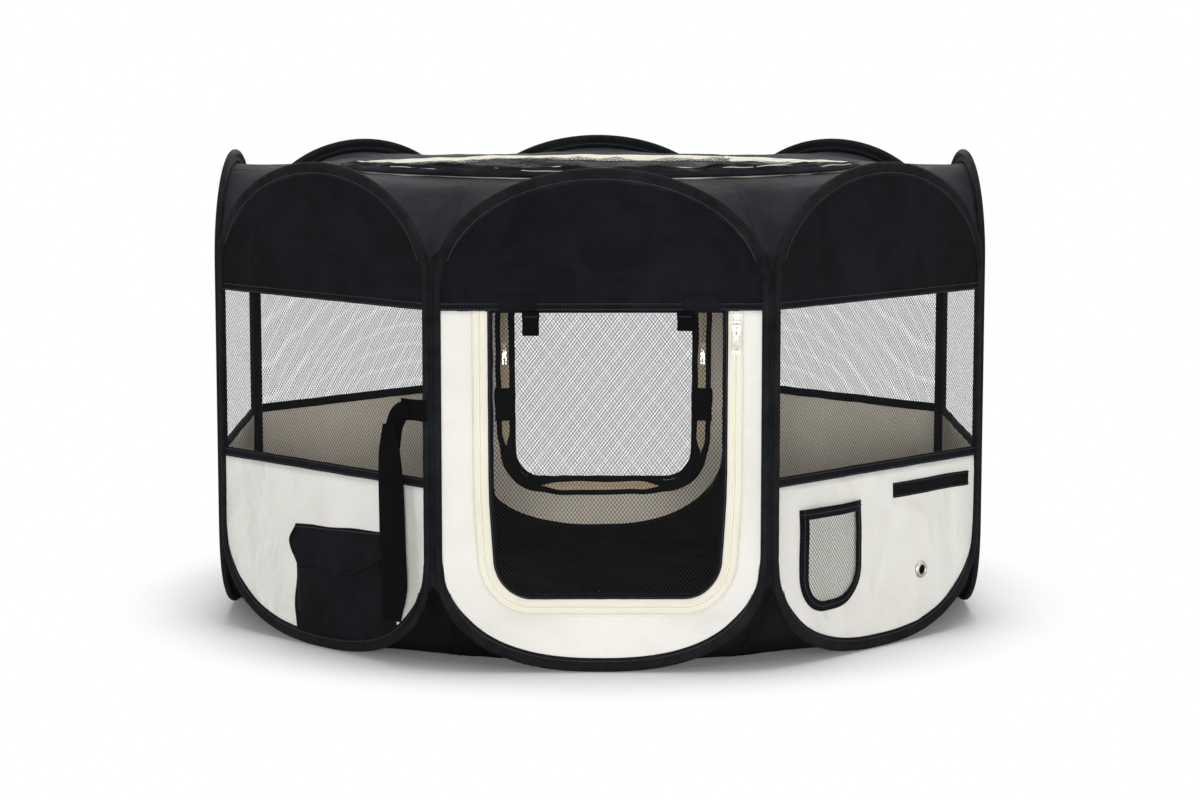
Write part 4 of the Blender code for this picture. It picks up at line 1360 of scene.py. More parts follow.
        def place(share: float, rise: float) -> Vector:
            """Where a point lies."""
            drop = (1 - rise) / 2
            narrow = 1 - 0.06 * drop + 0.03 * sin(9 * drop)
            out = 0.0019 + 0.0022 * sin(pi * drop) + 0.0008 * share * drop
            return at(across + half * narrow * share, -out, top - length * drop)

        tab = Sewn(f"{name}_{label}_tie_tab", panel.place)
        tab.add(cloth(8, 12, place, 0.0012), finishes.webbing)
        line = flat_line(across - half * 0.6, across + half * 0.6, top - 0.006)
        tab.stitch(line, 0.0, 0.0034, finishes.black_thread)
        tab.make(name, "webbing")

    def band_patches(self, panel: Panel, shape: DoorShape, finishes: Finishes) -> None:
        """Make the two faint fastener patches on the band above the tie tabs."""
        patches = panel.sewn("band_patches")
        for side in (-1, 1):
            across = shape.centre + side * self.patch_across
            up = self.sizes.band_seam + 0.0098
            line = flat_line(across - 0.0215, across + 0.0215, up)
            section = strip(0.0086, 0.0006, 0.0033, 0.0005)
            patches.add(sweep(along(line, 0.005), section), finishes.black)
        patches.make(panel.body, "hook_and_loop")

    def build(self, panel: Panel, centre: float, finishes: Finishes) -> None:
        """Make the whole door."""
        *draws, rise = DOOR_DRAWS[panel.name]
        given = dict(zip(("draw_left", "draw_right", "flare", "draw_low"), draws))
        shape = DoorShape(centre, bottom=DoorShape.bottom + rise, **given)
        self.surround(panel, shape, finishes)
        self.leaf(panel, shape, finishes)
        self.band_patches(panel, shape, finishes)
        ZipSlider().build(panel, shape, finishes)


@dataclass(frozen=True)
class ZipSlider:
    """A metal zip slider with a bridge and a pull that hangs from it."""

    width: float = 0.0112
    length: float = 0.016
    pull_width: float = 0.0096
    pull_length: float = 0.024
    top: float = 0.402
    waiting: float = 0.28
    inner_lean: float = 0.1148

    def body_shape(self) -> Shape:
        """The slider's two plates, wide at the shoulders and narrow at the mouth, with a bridge."""
        shape = blank()
        for level in (0.0002, 0.0019):
            plate = bmesh.ops.create_cube(shape, size=1.0)["verts"]
            bmesh.ops.scale(shape, verts=plate, vec=(self.width, 0.0009, self.length))
            for vert in plate:
                if vert.co.z < 0:
                    vert.co.x *= 0.62
            bmesh.ops.translate(shape, verts=plate, vec=(0, -level - 0.0008, -self.length / 2))
        return bevel(shape, shape.edges[:], 0.0003)

    def bridge_shape(self) -> Shape:
        """The arched bridge that holds the pull."""
        rings = []
        for step in range(9):
            angle = pi * step / 8
            centre = at(0, -0.003 - 0.0021 * sin(angle), -0.0065 + 0.0045 * cos(angle))
            ring = []
            for corner in ((-0.0011, -0.0004), (0.0011, -0.0004), (0.0011, 0.0004), (-0.0011, 0.0004)):
                outward = at(0, -sin(angle), cos(angle))
                ring.append(centre + at(corner[0], 0, 0) + outward * corner[1])
            rings.append(ring)
        return loft(rings, True, False)

    def pull_shape(self) -> Shape:
        """The pull: a plate with a long slot, narrower at its neck."""
        shape = blank()
        bmesh.ops.create_grid(shape, x_segments=4, y_segments=8, size=0.5)
        middles = [(face, face.calc_center_median()) for face in shape.faces]
        bars = [(face, spot.y) for face, spot in middles if abs(spot.x) < 0.2]
        slots = [face for face, up in bars if up > 0.26 or -0.38 < up < -0.1]
        bmesh.ops.delete(shape, geom=slots, context="FACES")
        for vert in shape.verts:
            neck = 0.72 if vert.co.y > 0.2 else 1.0
            across = vert.co.x * self.pull_width * neck
            drop = (0.5 - vert.co.y) * self.pull_length
            vert.co = at(across, -0.0044 + 0.0014 * smooth(drop, 0.0, self.pull_length), -0.0085 - drop)
        sharp = [edge for edge in solid(shape, 0.0009).edges if edge.calc_face_angle(0) > 1.0]
        return bevel(shape, sharp, 0.00022)

    def build(self, panel: Panel, shape: DoorShape, finishes: Finishes) -> None:
        """Make the slider at the top of the door's right side, with a pull on both faces, and its stop."""
        edge = shape.drawn(at(shape.centre + shape.half_width, self.top))
        seat = Matrix.Translation((edge.x, -0.0012, self.top))
        slider = Sewn(panel.name + "_slider_and_pull", panel.place @ seat)
        for part in (self.body_shape(), self.bridge_shape(), self.pull_shape()):
            slider.add(part, finishes.nickel)
        slider.add(self.inner_pull(1.45), finishes.polished)
        piece = slider.make(panel.name + "_zip_slider", "zip_metal")
        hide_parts(panel.name + "_zip_slider")

        stop = panel.sewn("zip_stop")
        stop.add(self.stop_shape(at(edge.x, -0.0016, self.top + 0.0018)), finishes.nickel)
        if panel.name == "rear":
            for side in (-1, 1):
                self.add_waiting(stop, shape, side, finishes)
        stop.make(panel.body, "zip_metal")

    def add_waiting(self, piece: Sewn, shape: DoorShape, side: int, finishes: Finishes) -> None:
        """Add the inner face of a second slider, which waits lower down on one side of the door."""
        edge = shape.drawn(at(shape.centre + side * shape.half_width, self.waiting))
        seat = at(edge.x, 0.0004, self.waiting)
        plate = self.body_shape()
        turn = Matrix.Translation(seat) @ Matrix.Rotation(pi, 4, "Z") @ Matrix.Diagonal((0.7, 1, 0.7, 1))
        bmesh.ops.transform(plate, matrix=turn, verts=plate.verts)
        piece.add(plate, finishes.polished)
        pull = self.inner_pull(0.95)
        bmesh.ops.translate(pull, verts=pull.verts, vec=seat)
        piece.add(pull, finishes.polished)

    def inner_pull(self, stretch: float) -> Shape:
        """The flat pull that hangs inside the door, stretched, with its lower end off the cloth."""
        shape = self.pull_shape()
        lean = self.inner_lean * stretch + 0.058
        slant = Matrix(((0.62, 0, 0, 0), (0, 1, lean, 0), (0, 0, stretch, 0), (0, 0, 0, 1)))
        bmesh.ops.transform(shape, matrix=Matrix.Rotation(pi, 4, "Z") @ slant, verts=shape.verts)
        return shape

    def stop_shape(self, seat: Vector) -> Shape:
        """The crimped metal stop at the zip's top end, standing on seat."""
        shape = blank()
        for level, half in ((0.0, 0.0046), (0.0042, 0.003), (0.0078, 0.0044)):
            plate = bmesh.ops.create_cube(shape, size=1.0)["verts"]
            bmesh.ops.scale(shape, verts=plate, vec=(2 * half, 0.0022, 0.003))
            bmesh.ops.translate(shape, verts=plate, vec=seat + at(0, 0, level + 0.0015))
        return bevel(shape, shape.edges[:], 0.0004)


@dataclass(frozen=True)
class Gore:
    """One panel's share of the floor or of the roof."""

    cloth: float = 0.0009
    clear: float = -0.00005
    start: float = 0.004
    columns: int = 36

    def spread(self, panel: Panel, share: float, inward: float, inner_radius: float) -> Vector:
        """A point on plan between the panel and a circle about the pen's middle.

        Args:
            panel: The panel.
            share: From -1 at the left edge to 1 at the right edge.
            inward: From 0 at the panel to 1 at the circle.
            inner_radius: The circle's radius.

        Returns:
            The point as (across, into the pen).
        """
        apothem = panel.hoop.apothem
        swing = sin(share * pi / 2)
        outer_half = panel.hoop.panel_width / 2 - self.start * tan(HALF_TURN) - self.clear
        inner_half = max(inner_radius * sin(HALF_TURN) - self.clear, 0.0002)
        outer = at(outer_half * swing, self.start)
        inner_x = inner_half * swing
        inner = at(inner_x, apothem - sqrt(inner_radius**2 - inner_x**2))
        return outer.lerp(inner, inward)

    def world_noise(self, panel: Panel, flat: Vector, scale: float, seed: float) -> float:
        """Noise that runs on from one gore to the next."""
        spot = panel.place @ at(flat.x, flat.y, 0)
        return rumple(spot.x, spot.y, scale, seed)


@dataclass(frozen=True)
class Floor(Gore):
    """The black floor, which climbs to the hoop at a panel's two lower corners."""

    rows: int = 26
    hub: float = 0.003
    rest: float = 0.0016
    climb: float = 0.16
    power: float = 2.2

    def build(self, panel: Panel, finishes: Finishes) -> None:
        """Make the gore."""

        def place(share: float, rise: float) -> Vector:
            """Where a point lies."""
            inward = ((rise + 1) / 2) ** 1.7
            flat = self.spread(panel, share, inward, self.hub)
            outer = self.spread(panel, share, 0.0, self.hub)
            edge = max(panel.hoop.bottom(outer.x) + 0.001, self.rest)
            climb = max(0.0, 1 - inward / self.climb) ** self.power
            wave = 0.5 + 0.5 * self.world_noise(panel, flat, 9, 5.0)
            wave += 0.35 * abs(self.world_noise(panel, flat, 26, 8.0))
            lift = 0.0035 * wave * smooth(inward, 0.0, 0.2)
            return at(flat.x, flat.y, self.rest + (edge - self.rest) * climb + lift)

        floor = panel.sewn("floor_cloth")
        floor.add(cloth(self.columns, self.rows, place, self.cloth), finishes.floor)
        piece = floor.make(panel.body, "floor_cloth")
        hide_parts(panel.name + "_floor_gore")
        panel.flatten(piece)


def opening_sag(angle: float, tilt: float) -> float:
    """How far the roof's opening sags at the back.

    Args:
        angle: An angle round the opening.
        tilt: 0 at the ring's outer edge and 1 at its inner edge, which hangs lower.

    Returns:
        The sag.
    """
    back = smooth(sin(angle), 0.05, 0.75)
    wave = 0.72 + 0.6 * rumple(cos(angle), sin(angle), 4.6, 61.0)
    return back * (0.003 + 0.0088 * tilt * min(max(wave, 0.15), 1.1))


@dataclass(frozen=True)
class Roof(Gore):
    """The charcoal roof, from the hoop's arch to the round opening."""

    rows: int = 18
    start: float = 0.0012
    opening: float = 0.3325
    level: float = 0.5588
    power: float = 3.4
    tuck: float = 0.0115

    def build(self, panel: Panel, finishes: Finishes) -> None:
        """Make the gore."""

        def place(share: float, rise: float) -> Vector:
            """Where a point lies."""
            inward = ((rise + 1) / 2) ** 1.5
            flat = self.spread(panel, share, inward, self.opening)
            outer = self.spread(panel, share, 0.0, self.opening)
            below = max(0.0, 1 - abs(outer.x / panel.hoop.half_width) ** 6)
            edge = panel.hoop.top(outer.x) - 0.001 - self.tuck * below
            fade = (1 - inward) ** self.power
            spot = panel.place @ at(flat.x, flat.y, 0)
            drop = opening_sag(atan2(spot.y, spot.x), 0.0) * smooth(inward, 0.7, 1.0)
            wave = self.world_noise(panel, flat, 22, 11.0) + 0.5 * self.world_noise(panel, flat, 55, 4.0)
            sag = 0.0016 * wave * smooth(inward, 0.0, 0.3) * (1 - smooth(inward, 0.8, 1.0))
            return at(flat.x, flat.y, self.level + (edge - self.level) * fade + sag - drop)

        roof = panel.sewn("roof_cloth")
        roof.add(cloth(self.columns, self.rows, place, self.cloth), finishes.charcoal)
        piece = roof.make(panel.body, "charcoal_cloth")
        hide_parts(panel.name + "_roof_gore")
        panel.flatten(piece)


@dataclass(frozen=True)
class CornerSeam:
    """The sewn tape that joins two panels between their rims."""

    low: float = 0.088
    high: float = 0.489
    dip: float = 0.012
    tuck: float = 0.0034
    thickness: float = 0.0011
    rows: int = 48

    def half(self, side: float, hoop: Hoop, run: float) -> list[Vector]:
        """Points from a rim to the corner in a panel's own frame, at a share of the seam's height."""
        points = []
        for share in (0.0, 0.5, 1.0):
            low, high = self.low + self.dip * share, self.high - self.dip * share
            up = low + (high - low) * run
            start = hoop.side(up) + self.tuck
            across = start + (hoop.panel_width / 2 - 0.00004 - start) * share
            points.append(at(side * across, 0, up))
        return points

    def skin(self, sections: Sequence[Line]) -> Shape:
        """A tape over a run of sections."""
        return solid(loft(sections, False, False), self.thickness)

    def build(self, left: Panel, right: Panel, finishes: Finishes) -> None:
        """Make the seam between the right end of one panel and the left end of the next."""
        runs = [row / self.rows for row in range(self.rows + 1)]
        near = [[left.place @ point for point in self.half(1, left.hoop, run)] for run in runs]
        far = [[right.place @ point for point in self.half(-1, right.hoop, run)[::-1]] for run in runs]
        name = f"{left.name}_{right.name}_seam"
        if {left.name, right.name} != {"rear", "rear_left"}:
            sections = [first + second[1:] for first, second in zip(near, far)]
            piece = Sewn(name).add(self.skin(sections), finishes.rim).make("", "black_cloth")
            middle = self.rows // 2
            left.body
            right.body
            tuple(near[middle][0])
            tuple(far[middle][-1])
            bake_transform(piece)
            return
        for panel, sections in ((left, near), (right, far)):
            half = Sewn(f"{name}_{panel.name}_half").add(self.skin(sections), finishes.rim)
            half.make(panel.body, "black_cloth")


@dataclass(frozen=True)
class FlapPocket:
    """The black pocket low on the front left panel, with a loose flap."""

    skirt: Skirt
    left: float = -0.0435
    right: float = 0.129
    mouth: float = 0.122
    flap_right: float = 0.1185
    flap_top: float = 0.15
    flap_slant: float = 0.0045
    flap_drop: float = 0.053
    depth: float = 0.005

    def build(self, panel: Panel, finishes: Finishes) -> None:
        """Make the pocket and its flap."""
        self.pocket(panel, finishes)
        self.flap(panel, finishes)

    def pocket(self, panel: Panel, finishes: Finishes) -> None:
        """Make the pocket's baggy front, with a hem at its mouth."""
        middle, half = (self.left + self.right) / 2, (self.right - self.left) / 2

        def out(across: float, up: float) -> float:
            """How far the pocket's front stands out at a place."""
            share = min(abs(across - middle) / half, 1.0)
            rise = min(max((up - 0.02) / (self.mouth - 0.02), 0.0), 1.0)
            slack = 0.5 * rumple(across * 1.5, up, 26, 71.0) + 0.4 * rumple(across, up * 1.5, 55, 72.0)
            bag = (1 - share**6) * (0.45 + 0.55 * rise) * (0.86 + 0.35 * slack)
            return self.skirt.out(panel, across, up) + 0.001 + self.depth * bag

        def place(share: float, rise: float) -> Vector:
            """Where a point lies."""
            swing = sin(share * pi / 2)
            across = middle + half * swing
            low = panel.hoop.bottom(across, 0.0082) + 0.0006
            up = low + (self.mouth - low) * (rise + 1) / 2
            across += (0.0062 * swing + 0.0015 * sin(up * 95)) * smooth(self.mouth - up, 0.0, 0.09)
            return at(across, -out(across, up), up)

        pocket = Sewn("flap_pocket_cloth", panel.place)
        pocket.add(cloth(40, 22, place, 0.0009), finishes.black)
        for across, low in ((self.left + 0.0022, 0.04), (self.right - 0.0022, 0.06)):
            edge = vectors((across, self.mouth - 0.002), (across, low))
            pocket.stitch(edge, 0.0, lambda station: out(*station.point) + 0.0003, finishes.black_thread)
        piece = pocket.make(panel.body, "black_cloth")
        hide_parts("side_pocket")

    def flap(self, panel: Panel, finishes: Finishes) -> None:
        """Make the flap, which hangs from its top seam, with round lower corners and a bound edge."""
        middle, half = (self.left + self.flap_right) / 2, (self.flap_right - self.left) / 2

        def top(share: float) -> float:
            """Height of the flap's top seam."""
            return self.flap_top + self.flap_slant * share + 0.0005 * sin(6 * share)

        def drop(share: float) -> float:
            """How far the flap hangs down, less at its two round corners."""
            left_corner = smooth(-share, 0.8, 1.06)
            right_corner = smooth(share, 0.25, 1.05)
            wave = 0.0014 * sin(6.5 * share + 1.9)
            return self.flap_drop * (1 - 0.42 * left_corner - 0.42 * right_corner) + wave

        def place(share: float, rise: float) -> Vector:
            """Where a point lies."""
            fall = (1 - rise) / 2
            bulge = 0.004 * sin(pi * fall) - 0.003 * fall**3
            across = middle + half * share + bulge * copysign(abs(share) ** 3, share)
            up = top(share) - drop(share) * fall
            wave = 0.0011 * sin(7.3 * share + 1.1) + 0.0008 * sin(15 * share + 0.4)
            seat = self.skirt.out(panel, across, up) + 0.0008
            return at(across, -(seat + 0.0078 * smooth(fall, 0.0, 0.6) + wave * fall), up)

        flap = Sewn("pocket_flap_cloth", panel.place)
        flap.add(cloth(48, 14, place, 0.0011), finishes.black)
        rim = [place(-1.0, 1 - step / 8) for step in range(17)]
        rim += [place(step / 30 - 1, -1.0) for step in range(1, 61)]
        rim += [place(1.0, step / 8 - 1) for step in range(1, 17)]
        flap.add(roll([point + at(0, -0.0003, 0) for point in rim], 0.0011), finishes.rim)
        line = vectors((self.left + 0.002, top(-1) - 0.003), (self.flap_right - 0.002, top(1) - 0.003))

        def seam_out(station: Station) -> float:
            """Height of the top seam's stitches."""
            return self.skirt.out(panel, *station.point) + 0.0024

        flap.stitch(line, 0.0, seam_out, finishes.black_thread)
        piece = flap.make("pocket_flap", "black_cloth")
        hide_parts("pocket_flap")


@dataclass(frozen=True)
class BottlePocket:
    """The net pocket on the front right panel, in a black binding."""

    net: NetCloth
    skirt: Skirt
    centre: float = -0.092
    half_width: float = 0.055
    bottom: float = 0.0585
    top: float = 0.182
    radius: float = 0.046
    border: float = 0.0122
    depth: float = 0.005

    def outline(self) -> DoorShape:
        """The pocket's outline."""
        return DoorShape(self.centre, self.half_width, self.bottom, self.radius, self.top)

    def out(self, panel: Panel, spot: Vector) -> float:
        """How far the pocket's front stands out at a place."""
        share = min(abs(spot.x - self.centre) / self.half_width, 1.0)
        rise = min(max((spot.y - self.bottom) / (self.top - self.bottom), 0.0), 1.0)
        bag = self.depth * (1 - share**3) * smooth(rise, 0.0, 0.45)
        return self.skirt.out(panel, spot.x, spot.y) + 0.001 + bag

    def build(self, panel: Panel, finishes: Finishes) -> None:
        """Make the pocket."""
        shape = self.outline()
        low = at(self.centre - self.half_width, self.bottom)
        high = at(self.centre + self.half_width, self.top)

        def inside(middle: Vector) -> bool:
            """Whether a cell is in the pocket."""
            return middle.y < self.top - 0.001 and shape.holds(middle, -self.border * 0.4)

        def place(flat: Vector) -> Vector:
            """Where a point lies."""
            return at(flat.x, -self.out(panel, flat), flat.y)

        pocket = Sewn("bottle_pocket_net", panel.place)
        pocket.add(self.net.knit(low, high, inside, place), finishes.net)
        piece = pocket.make(panel.body, "net")
        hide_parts("bottle_pocket")
        self.bind(panel, shape, finishes)

    def bind(self, panel: Panel, shape: DoorShape, finishes: Finishes) -> None:
        """Make the binding round the pocket and the hem across its mouth."""
        half = self.border / 2
        section = vectors((-half, -0.0004), (-half, 0.0008), (half, 0.0008), (half, -0.0004))
        binding = Sewn("bottle_pocket_binding", panel.place)
        reach = self.half_width
        mouth = flat_line(self.centre - reach, self.centre + reach, self.top - half + 0.001)
        lines = (shape.line(-half), mouth)
        for line in lines:
            rings = []
            for station in along(line, FINE_STEP):
                ring = []
                for point in section:
                    spot = station.point + station.outward * point.x
                    ring.append(at(spot.x, -self.out(panel, spot) - point.y, spot.y))
                rings.append(ring)
            binding.add(loft(rings, True, False), finishes.black)

        def seam_out(station: Station) -> float:
            """Height of the stitches."""
            return self.out(panel, station.point) + 0.0009

        for line in lines:
            binding.stitch(line, 0.0, seam_out, finishes.black_thread)
        binding.make(panel.body, "black_cloth")


@dataclass(frozen=True)
class Fastener:
    """The hook and loop strip on the front right panel."""

    skirt: Skirt
    left: float = 0.025
    right: float = 0.167
    bottom: float = 0.178
    height: float = 0.018

    def build(self, panel: Panel, finishes: Finishes) -> None:
        """Make the strip."""
        up = self.bottom + self.height / 2
        line = flat_line(self.left, self.right, up)
        patch = Sewn("fastener_strip", panel.place)

        def sway(distance: float) -> Pair:
            """The strip's small waves over the cloth below it."""
            rest = self.skirt.out(panel, self.left + distance, up)
            return 0.0006 * rumple(distance, 0, 20, 91.0), rest + 0.0002 * rumple(distance, 0, 26, 92.0)

        def seam_out(station: Station) -> float:
            """Height of the stitches."""
            return self.skirt.out(panel, station.point.x, up) + 0.0021

        section = strip(self.height / 2, -0.0001, 0.0021, 0.0006)
        patch.add(sweep(along(line, FINE_STEP), section, shift=sway), finishes.pile)
        for row in (-0.0072, 0.0072):
            patch.stitch(line, row, seam_out, finishes.black_thread)
        piece = patch.make(panel.body, "hook_and_loop")
        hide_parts("hook_and_loop_strip")


@dataclass(frozen=True)
class Eyelet:
    """The metal eyelet in the front right skirt: a rolled flange, with a black disc in its bore as painted
    shade.
    """

    skirt: Skirt
    across: float = 0.077
    up: float = 0.0845
    bore: float = 0.0056
    flange: float = 0.0105
    sides: int = 40

    def build(self, panel: Panel, finishes: Finishes) -> None:
        """Make the eyelet by spinning its section."""
        rest = self.skirt.out(panel, self.across, self.up) + 0.0008
        section = [
            (self.bore, -0.0006), (self.bore, 0.0016), (self.bore + 0.0008, 0.0028),
            (self.bore + 0.0017, 0.0031), (self.flange - 0.0015, 0.0026), (self.flange - 0.0004, 0.0014),
            (self.flange, 0.0003), (self.flange - 0.0004, -0.0006), (self.bore + 0.0006, -0.0006),
        ]
        rings = []
        for step in range(self.sides):
            angle = tau * step / self.sides
            side, rise = cos(angle), sin(angle)
            rings.append([at(self.across + r * side, -rest - out, self.up + r * rise) for r, out in section])
        ring = Sewn("eyelet_ring", panel.place).add(loft(rings, True, True), finishes.nickel)
        piece = ring.make(panel.body, "zip_metal")
        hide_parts("eyelet")

        # A black disc over the cloth inside the bore: painted shade that makes the hole look deep and dark.
        shape = blank()
        seat = Matrix.Translation((self.across, -rest - 0.0004, self.up)) @ Matrix.Rotation(pi / 2, 4, "X")
        bmesh.ops.create_circle(shape, cap_ends=True, segments=24, radius=self.bore + 0.0008, matrix=seat)
        bore_painted_shade = Sewn("eyelet_bore_painted_shade", panel.place).add(shape, finishes.webbing)
        bore_painted_shade.make(panel.body, "black_cloth")


@dataclass(frozen=True)
class WebbingLoop:
    """The long webbing loop on the front left panel, and the tab that it is folded from."""

    width: float = 0.03
    top: float = 0.3035
    bottom: float = 0.0555
    thickness: float = 0.0014
    cup: float = 0.0008

    def build(self, panel: Panel, finishes: Finishes) -> None:
        """Make the tab and the loop."""
        self.tab(panel, finishes)
        self.loop(panel, finishes)

    def tab(self, panel: Panel, finishes: Finishes) -> None:
        """Make the short level part that is sewn to the rim."""

        def place(share: float, rise: float) -> Vector:
            """Where a point lies."""
            run = (share + 1) / 2
            across = 0.15 + 0.04 * run
            out = 0.0068 - 0.002 * smooth(run, 0.35, 1.0) + 0.0004 * sin(run * 9)
            up = self.top + 0.0128 * rise * (1 - 0.05 * sin(pi * run)) - 0.0012 * (1 - run)
            return at(across, -out, up)

        tab = Sewn("hanging_strap_tab", panel.place)
        tab.add(cloth(16, 10, place, self.thickness), finishes.webbing)
        tab.make(panel.body, "webbing")

    def knots(self) -> list[Vector]:
        """The loop's centre line, (across, -out, up): left, down at the back, round and up at the front."""
        top, low = self.top, self.bottom
        return vectors(
            (0.164, -0.0082, top), (0.152, -0.0092, top - 0.005), (0.144, -0.0098, 0.287),
            (0.1385, -0.0104, 0.27), (0.1335, -0.0108, 0.25), (0.1314, -0.0114, 0.22),
            (0.1325, -0.013, 0.17), (0.1335, -0.014, 0.12), (0.136, -0.0132, 0.076),
            (0.1385, -0.0136, low + 0.0035), (0.1425, -0.017, low), (0.147, -0.0204, low + 0.0045),
            (0.154, -0.0228, 0.078), (0.1585, -0.0234, 0.102), (0.155, -0.0226, 0.14),
            (0.1515, -0.0206, 0.185), (0.145, -0.0172, 0.226), (0.1365, -0.0142, 0.262),
            (0.1345, -0.0122, 0.284),
        )

    def loop(self, panel: Panel, finishes: Finishes) -> None:
        """Make the loop as one strip of webbing that folds down, turns and comes back up."""
        centres = spline(self.knots(), 6)
        rings = []
        for index, centre in enumerate(centres):
            ahead = centres[min(index + 1, len(centres) - 1)] - centres[max(index - 1, 0)]
            run = index / (len(centres) - 1)
            going = at(ahead.x, 0, ahead.z).normalized()
            side = at(-going.z, 0, going.x) if run < 0.5 else at(going.z, 0, -going.x)
            flat = smooth(centre.z, self.bottom + 0.012, self.bottom + 0.03)
            side = side.lerp(at(1, 0, 0), 1 - flat).normalized()
            narrow = 0.74 + 0.26 * smooth(abs(centre.z - self.top), 0.018, 0.05)
            side *= self.width / 2 * narrow
            side.y += 0.0028 * sin(run * 9.0 + 0.6) * flat
            cup = at(0, self.cup * sin(run * 21), 0)
            near, far = centre - side * 0.5 + cup, centre + side * 0.5 + cup
            rings.append([centre - side, near, centre + cup * 1.3, far, centre + side])
        shape = solid(loft(rings, False, False), self.thickness)
        strap = Sewn("hanging_strap_webbing", panel.place).add(shape, finishes.webbing)
        piece = strap.make("hanging_strap", "webbing")
        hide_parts("hanging_strap")


@dataclass(frozen=True)
class TopCover:
    """The round net cover, its zip ring and the ring's slider."""

    net: NetCloth
    level: float = 0.5594
    ring_outer: float = 0.33
    ring_inner: float = 0.318
    hem: float = 0.011
    sides: int = 160
    slider_angle: float = radians(56.0)
    guard_reach: float = radians(78.0)
    guard_crest: float = 0.0086

    def height(self, spot: Vector) -> float:
        """Height of the cover's crumpled cloth at a place on plan."""
        radius = spot.length
        held = 1 - smooth(radius, 0.22, 0.315)
        fold = abs(rumple(spot.x * 0.55, spot.y, 11, 101.0))
        fold += 0.5 * abs(rumple(spot.x, spot.y * 1.6, 24, 103.0))
        lift = 0.015 * (0.55 - fold) * held
        edge = 0.0015 * rumple(spot.x, spot.y, 24, 105.0)
        edge -= opening_sag(atan2(spot.y, spot.x), 1.0) * smooth(radius, 0.15, 0.315)
        return self.level + lift + edge - 0.004 * held

    def tube(self, inner: float, outer: float, rise: float, thickness: float) -> Shape:
        """A flat ring that follows the cover's edge, closed all round."""
        rings = []
        for step in range(self.sides):
            angle = tau * step / self.sides
            heading = at(cos(angle), sin(angle))
            wave = 0.0016 * rumple(heading.x * 0.33, heading.y * 0.33, 24, 105.0)
            ring = []
            for radius, up in ((inner, 0.0), (inner, thickness), (outer, thickness), (outer, 0.0)):
                spot = heading * radius
                tilt = 1 - min(max((radius - self.ring_inner) / 0.015, 0.0), 1.0)
                up -= opening_sag(angle, tilt)
                ring.append(at(spot.x, spot.y, self.level + rise + up + wave))
            rings.append(ring)
        return loft(rings, True, True)

    def build(self, finishes: Finishes) -> None:
        """Make the ring, the cover and the slider."""
        tape = Sewn("roof_ring_tape")
        near, far = self.ring_inner, self.ring_outer
        tape.add(self.tube(near - 0.0005, far + 0.003, 0.0, 0.0011), finishes.tape)
        tape.add(self.tube(near + 0.0035, near + 0.0055, 0.0008, 0.0014), finishes.coil)
        tape.add(self.tube(far - 0.001, far + 0.0006, 0.0008, 0.001), finishes.coil)
        ring = tape.make("roof_ring", "zip_tape")
        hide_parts("roof_zip_ring")
        self.squash(ring)

        radius = self.ring_inner - 0.0008
        low, high = at(-radius, -radius), at(radius, radius)
        net = Sewn("top_cover_net")

        def inside(middle: Vector) -> bool:
            """Whether a cell is in the cover."""
            return middle.length < radius - self.hem * 0.5

        def place(flat: Vector) -> Vector:
            """Where a point lies."""
            return at(flat.x, flat.y, self.height(flat))

        net.add(self.net.knit(low, high, inside, place), finishes.cover_net)
        cover = net.make("top_cover", "cover_net")
        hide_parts("top_cover")
        self.squash(cover)
        hem = Sewn("top_cover_hem")
        hem.add(self.tube(radius - self.hem, radius, 0.0004, 0.0012), finishes.black)
        trim = hem.make("top_cover", "cover_net")
        self.squash(trim)
        self.guard(finishes)

        turn = Matrix.Rotation(self.slider_angle + pi / 2, 4, "Z")
        drop = opening_sag(self.slider_angle, 0.7)
        seat = Matrix.Translation((0, -self.ring_inner - 0.0045, self.level + 0.0012 - drop))
        lie = Matrix.Rotation(-pi / 2, 4, "X")
        slider = ZipSlider()
        part = Sewn("roof_slider_and_pull", turn @ seat @ Matrix.Rotation(pi / 2, 4, "Z") @ lie)
        for shape in (slider.body_shape(), slider.bridge_shape(), slider.pull_shape()):
            part.add(shape, finishes.nickel)
        piece = part.make("roof_zip_slider", "zip_metal")
        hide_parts("roof_zip_slider")
        self.squash(piece)

    def guard(self, finishes: Finishes) -> None:
        """Make the crumpled black flap that hides the front half of the zip, with two wavy pale cords that
        are painted highlights along its folds.
        """

        def place(share: float, rise: float) -> Vector:
            """Where a point lies."""
            angle = -pi / 2 + self.guard_reach * share
            fade = 1 - abs(share) ** 4
            crumple = rumple(share, rise * 0.5, 6, 131.0) + 0.6 * rumple(share * 1.7, rise * 0.4, 11, 133.0)
            inner = self.ring_inner - 0.03 * fade + 0.006 * crumple * fade
            outer = self.ring_outer + 0.007 + 0.003 * crumple * fade
            radius = inner + (outer - inner) * (rise + 1) / 2
            crest = self.guard_crest * (1 - rise**2) * (0.35 + 0.65 * fade) * (1 + 0.55 * crumple)
            base = 0.003 if rise < 0.6 else 0.003 - 0.0016 * (rise - 0.6) / 0.4
            up = self.level + base + max(crest, 0.0)
            return at(radius * cos(angle), radius * sin(angle), up)

        guard = Sewn("top_cover_zip_guard")
        guard.add(cloth(120, 12, place, 0.001), finishes.black)
        # Two wavy cords in the zip tape's cream that peek through the flap here and there: painted highlights
        # along its folds.
        for level, seed in ((-0.35, 141.0), (0.45, 143.0)):
            points = []
            for step in range(241):
                share = 1.8 * step / 240 - 0.9
                wave = rumple(share, 0, 4, seed)
                highlight_rise = 0.0008 + 0.0014 * wave
                points.append(place(share, level + 0.3 * wave) + at(0, 0, highlight_rise))
            guard.add(roll(points, 0.0006), finishes.tape)
        piece = guard.make("top_cover", "black_cloth")
        self.squash(piece)

    def squash(self, piece: Piece) -> None:
        """Give a piece of the cover a mesh of its own."""
        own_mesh(piece)


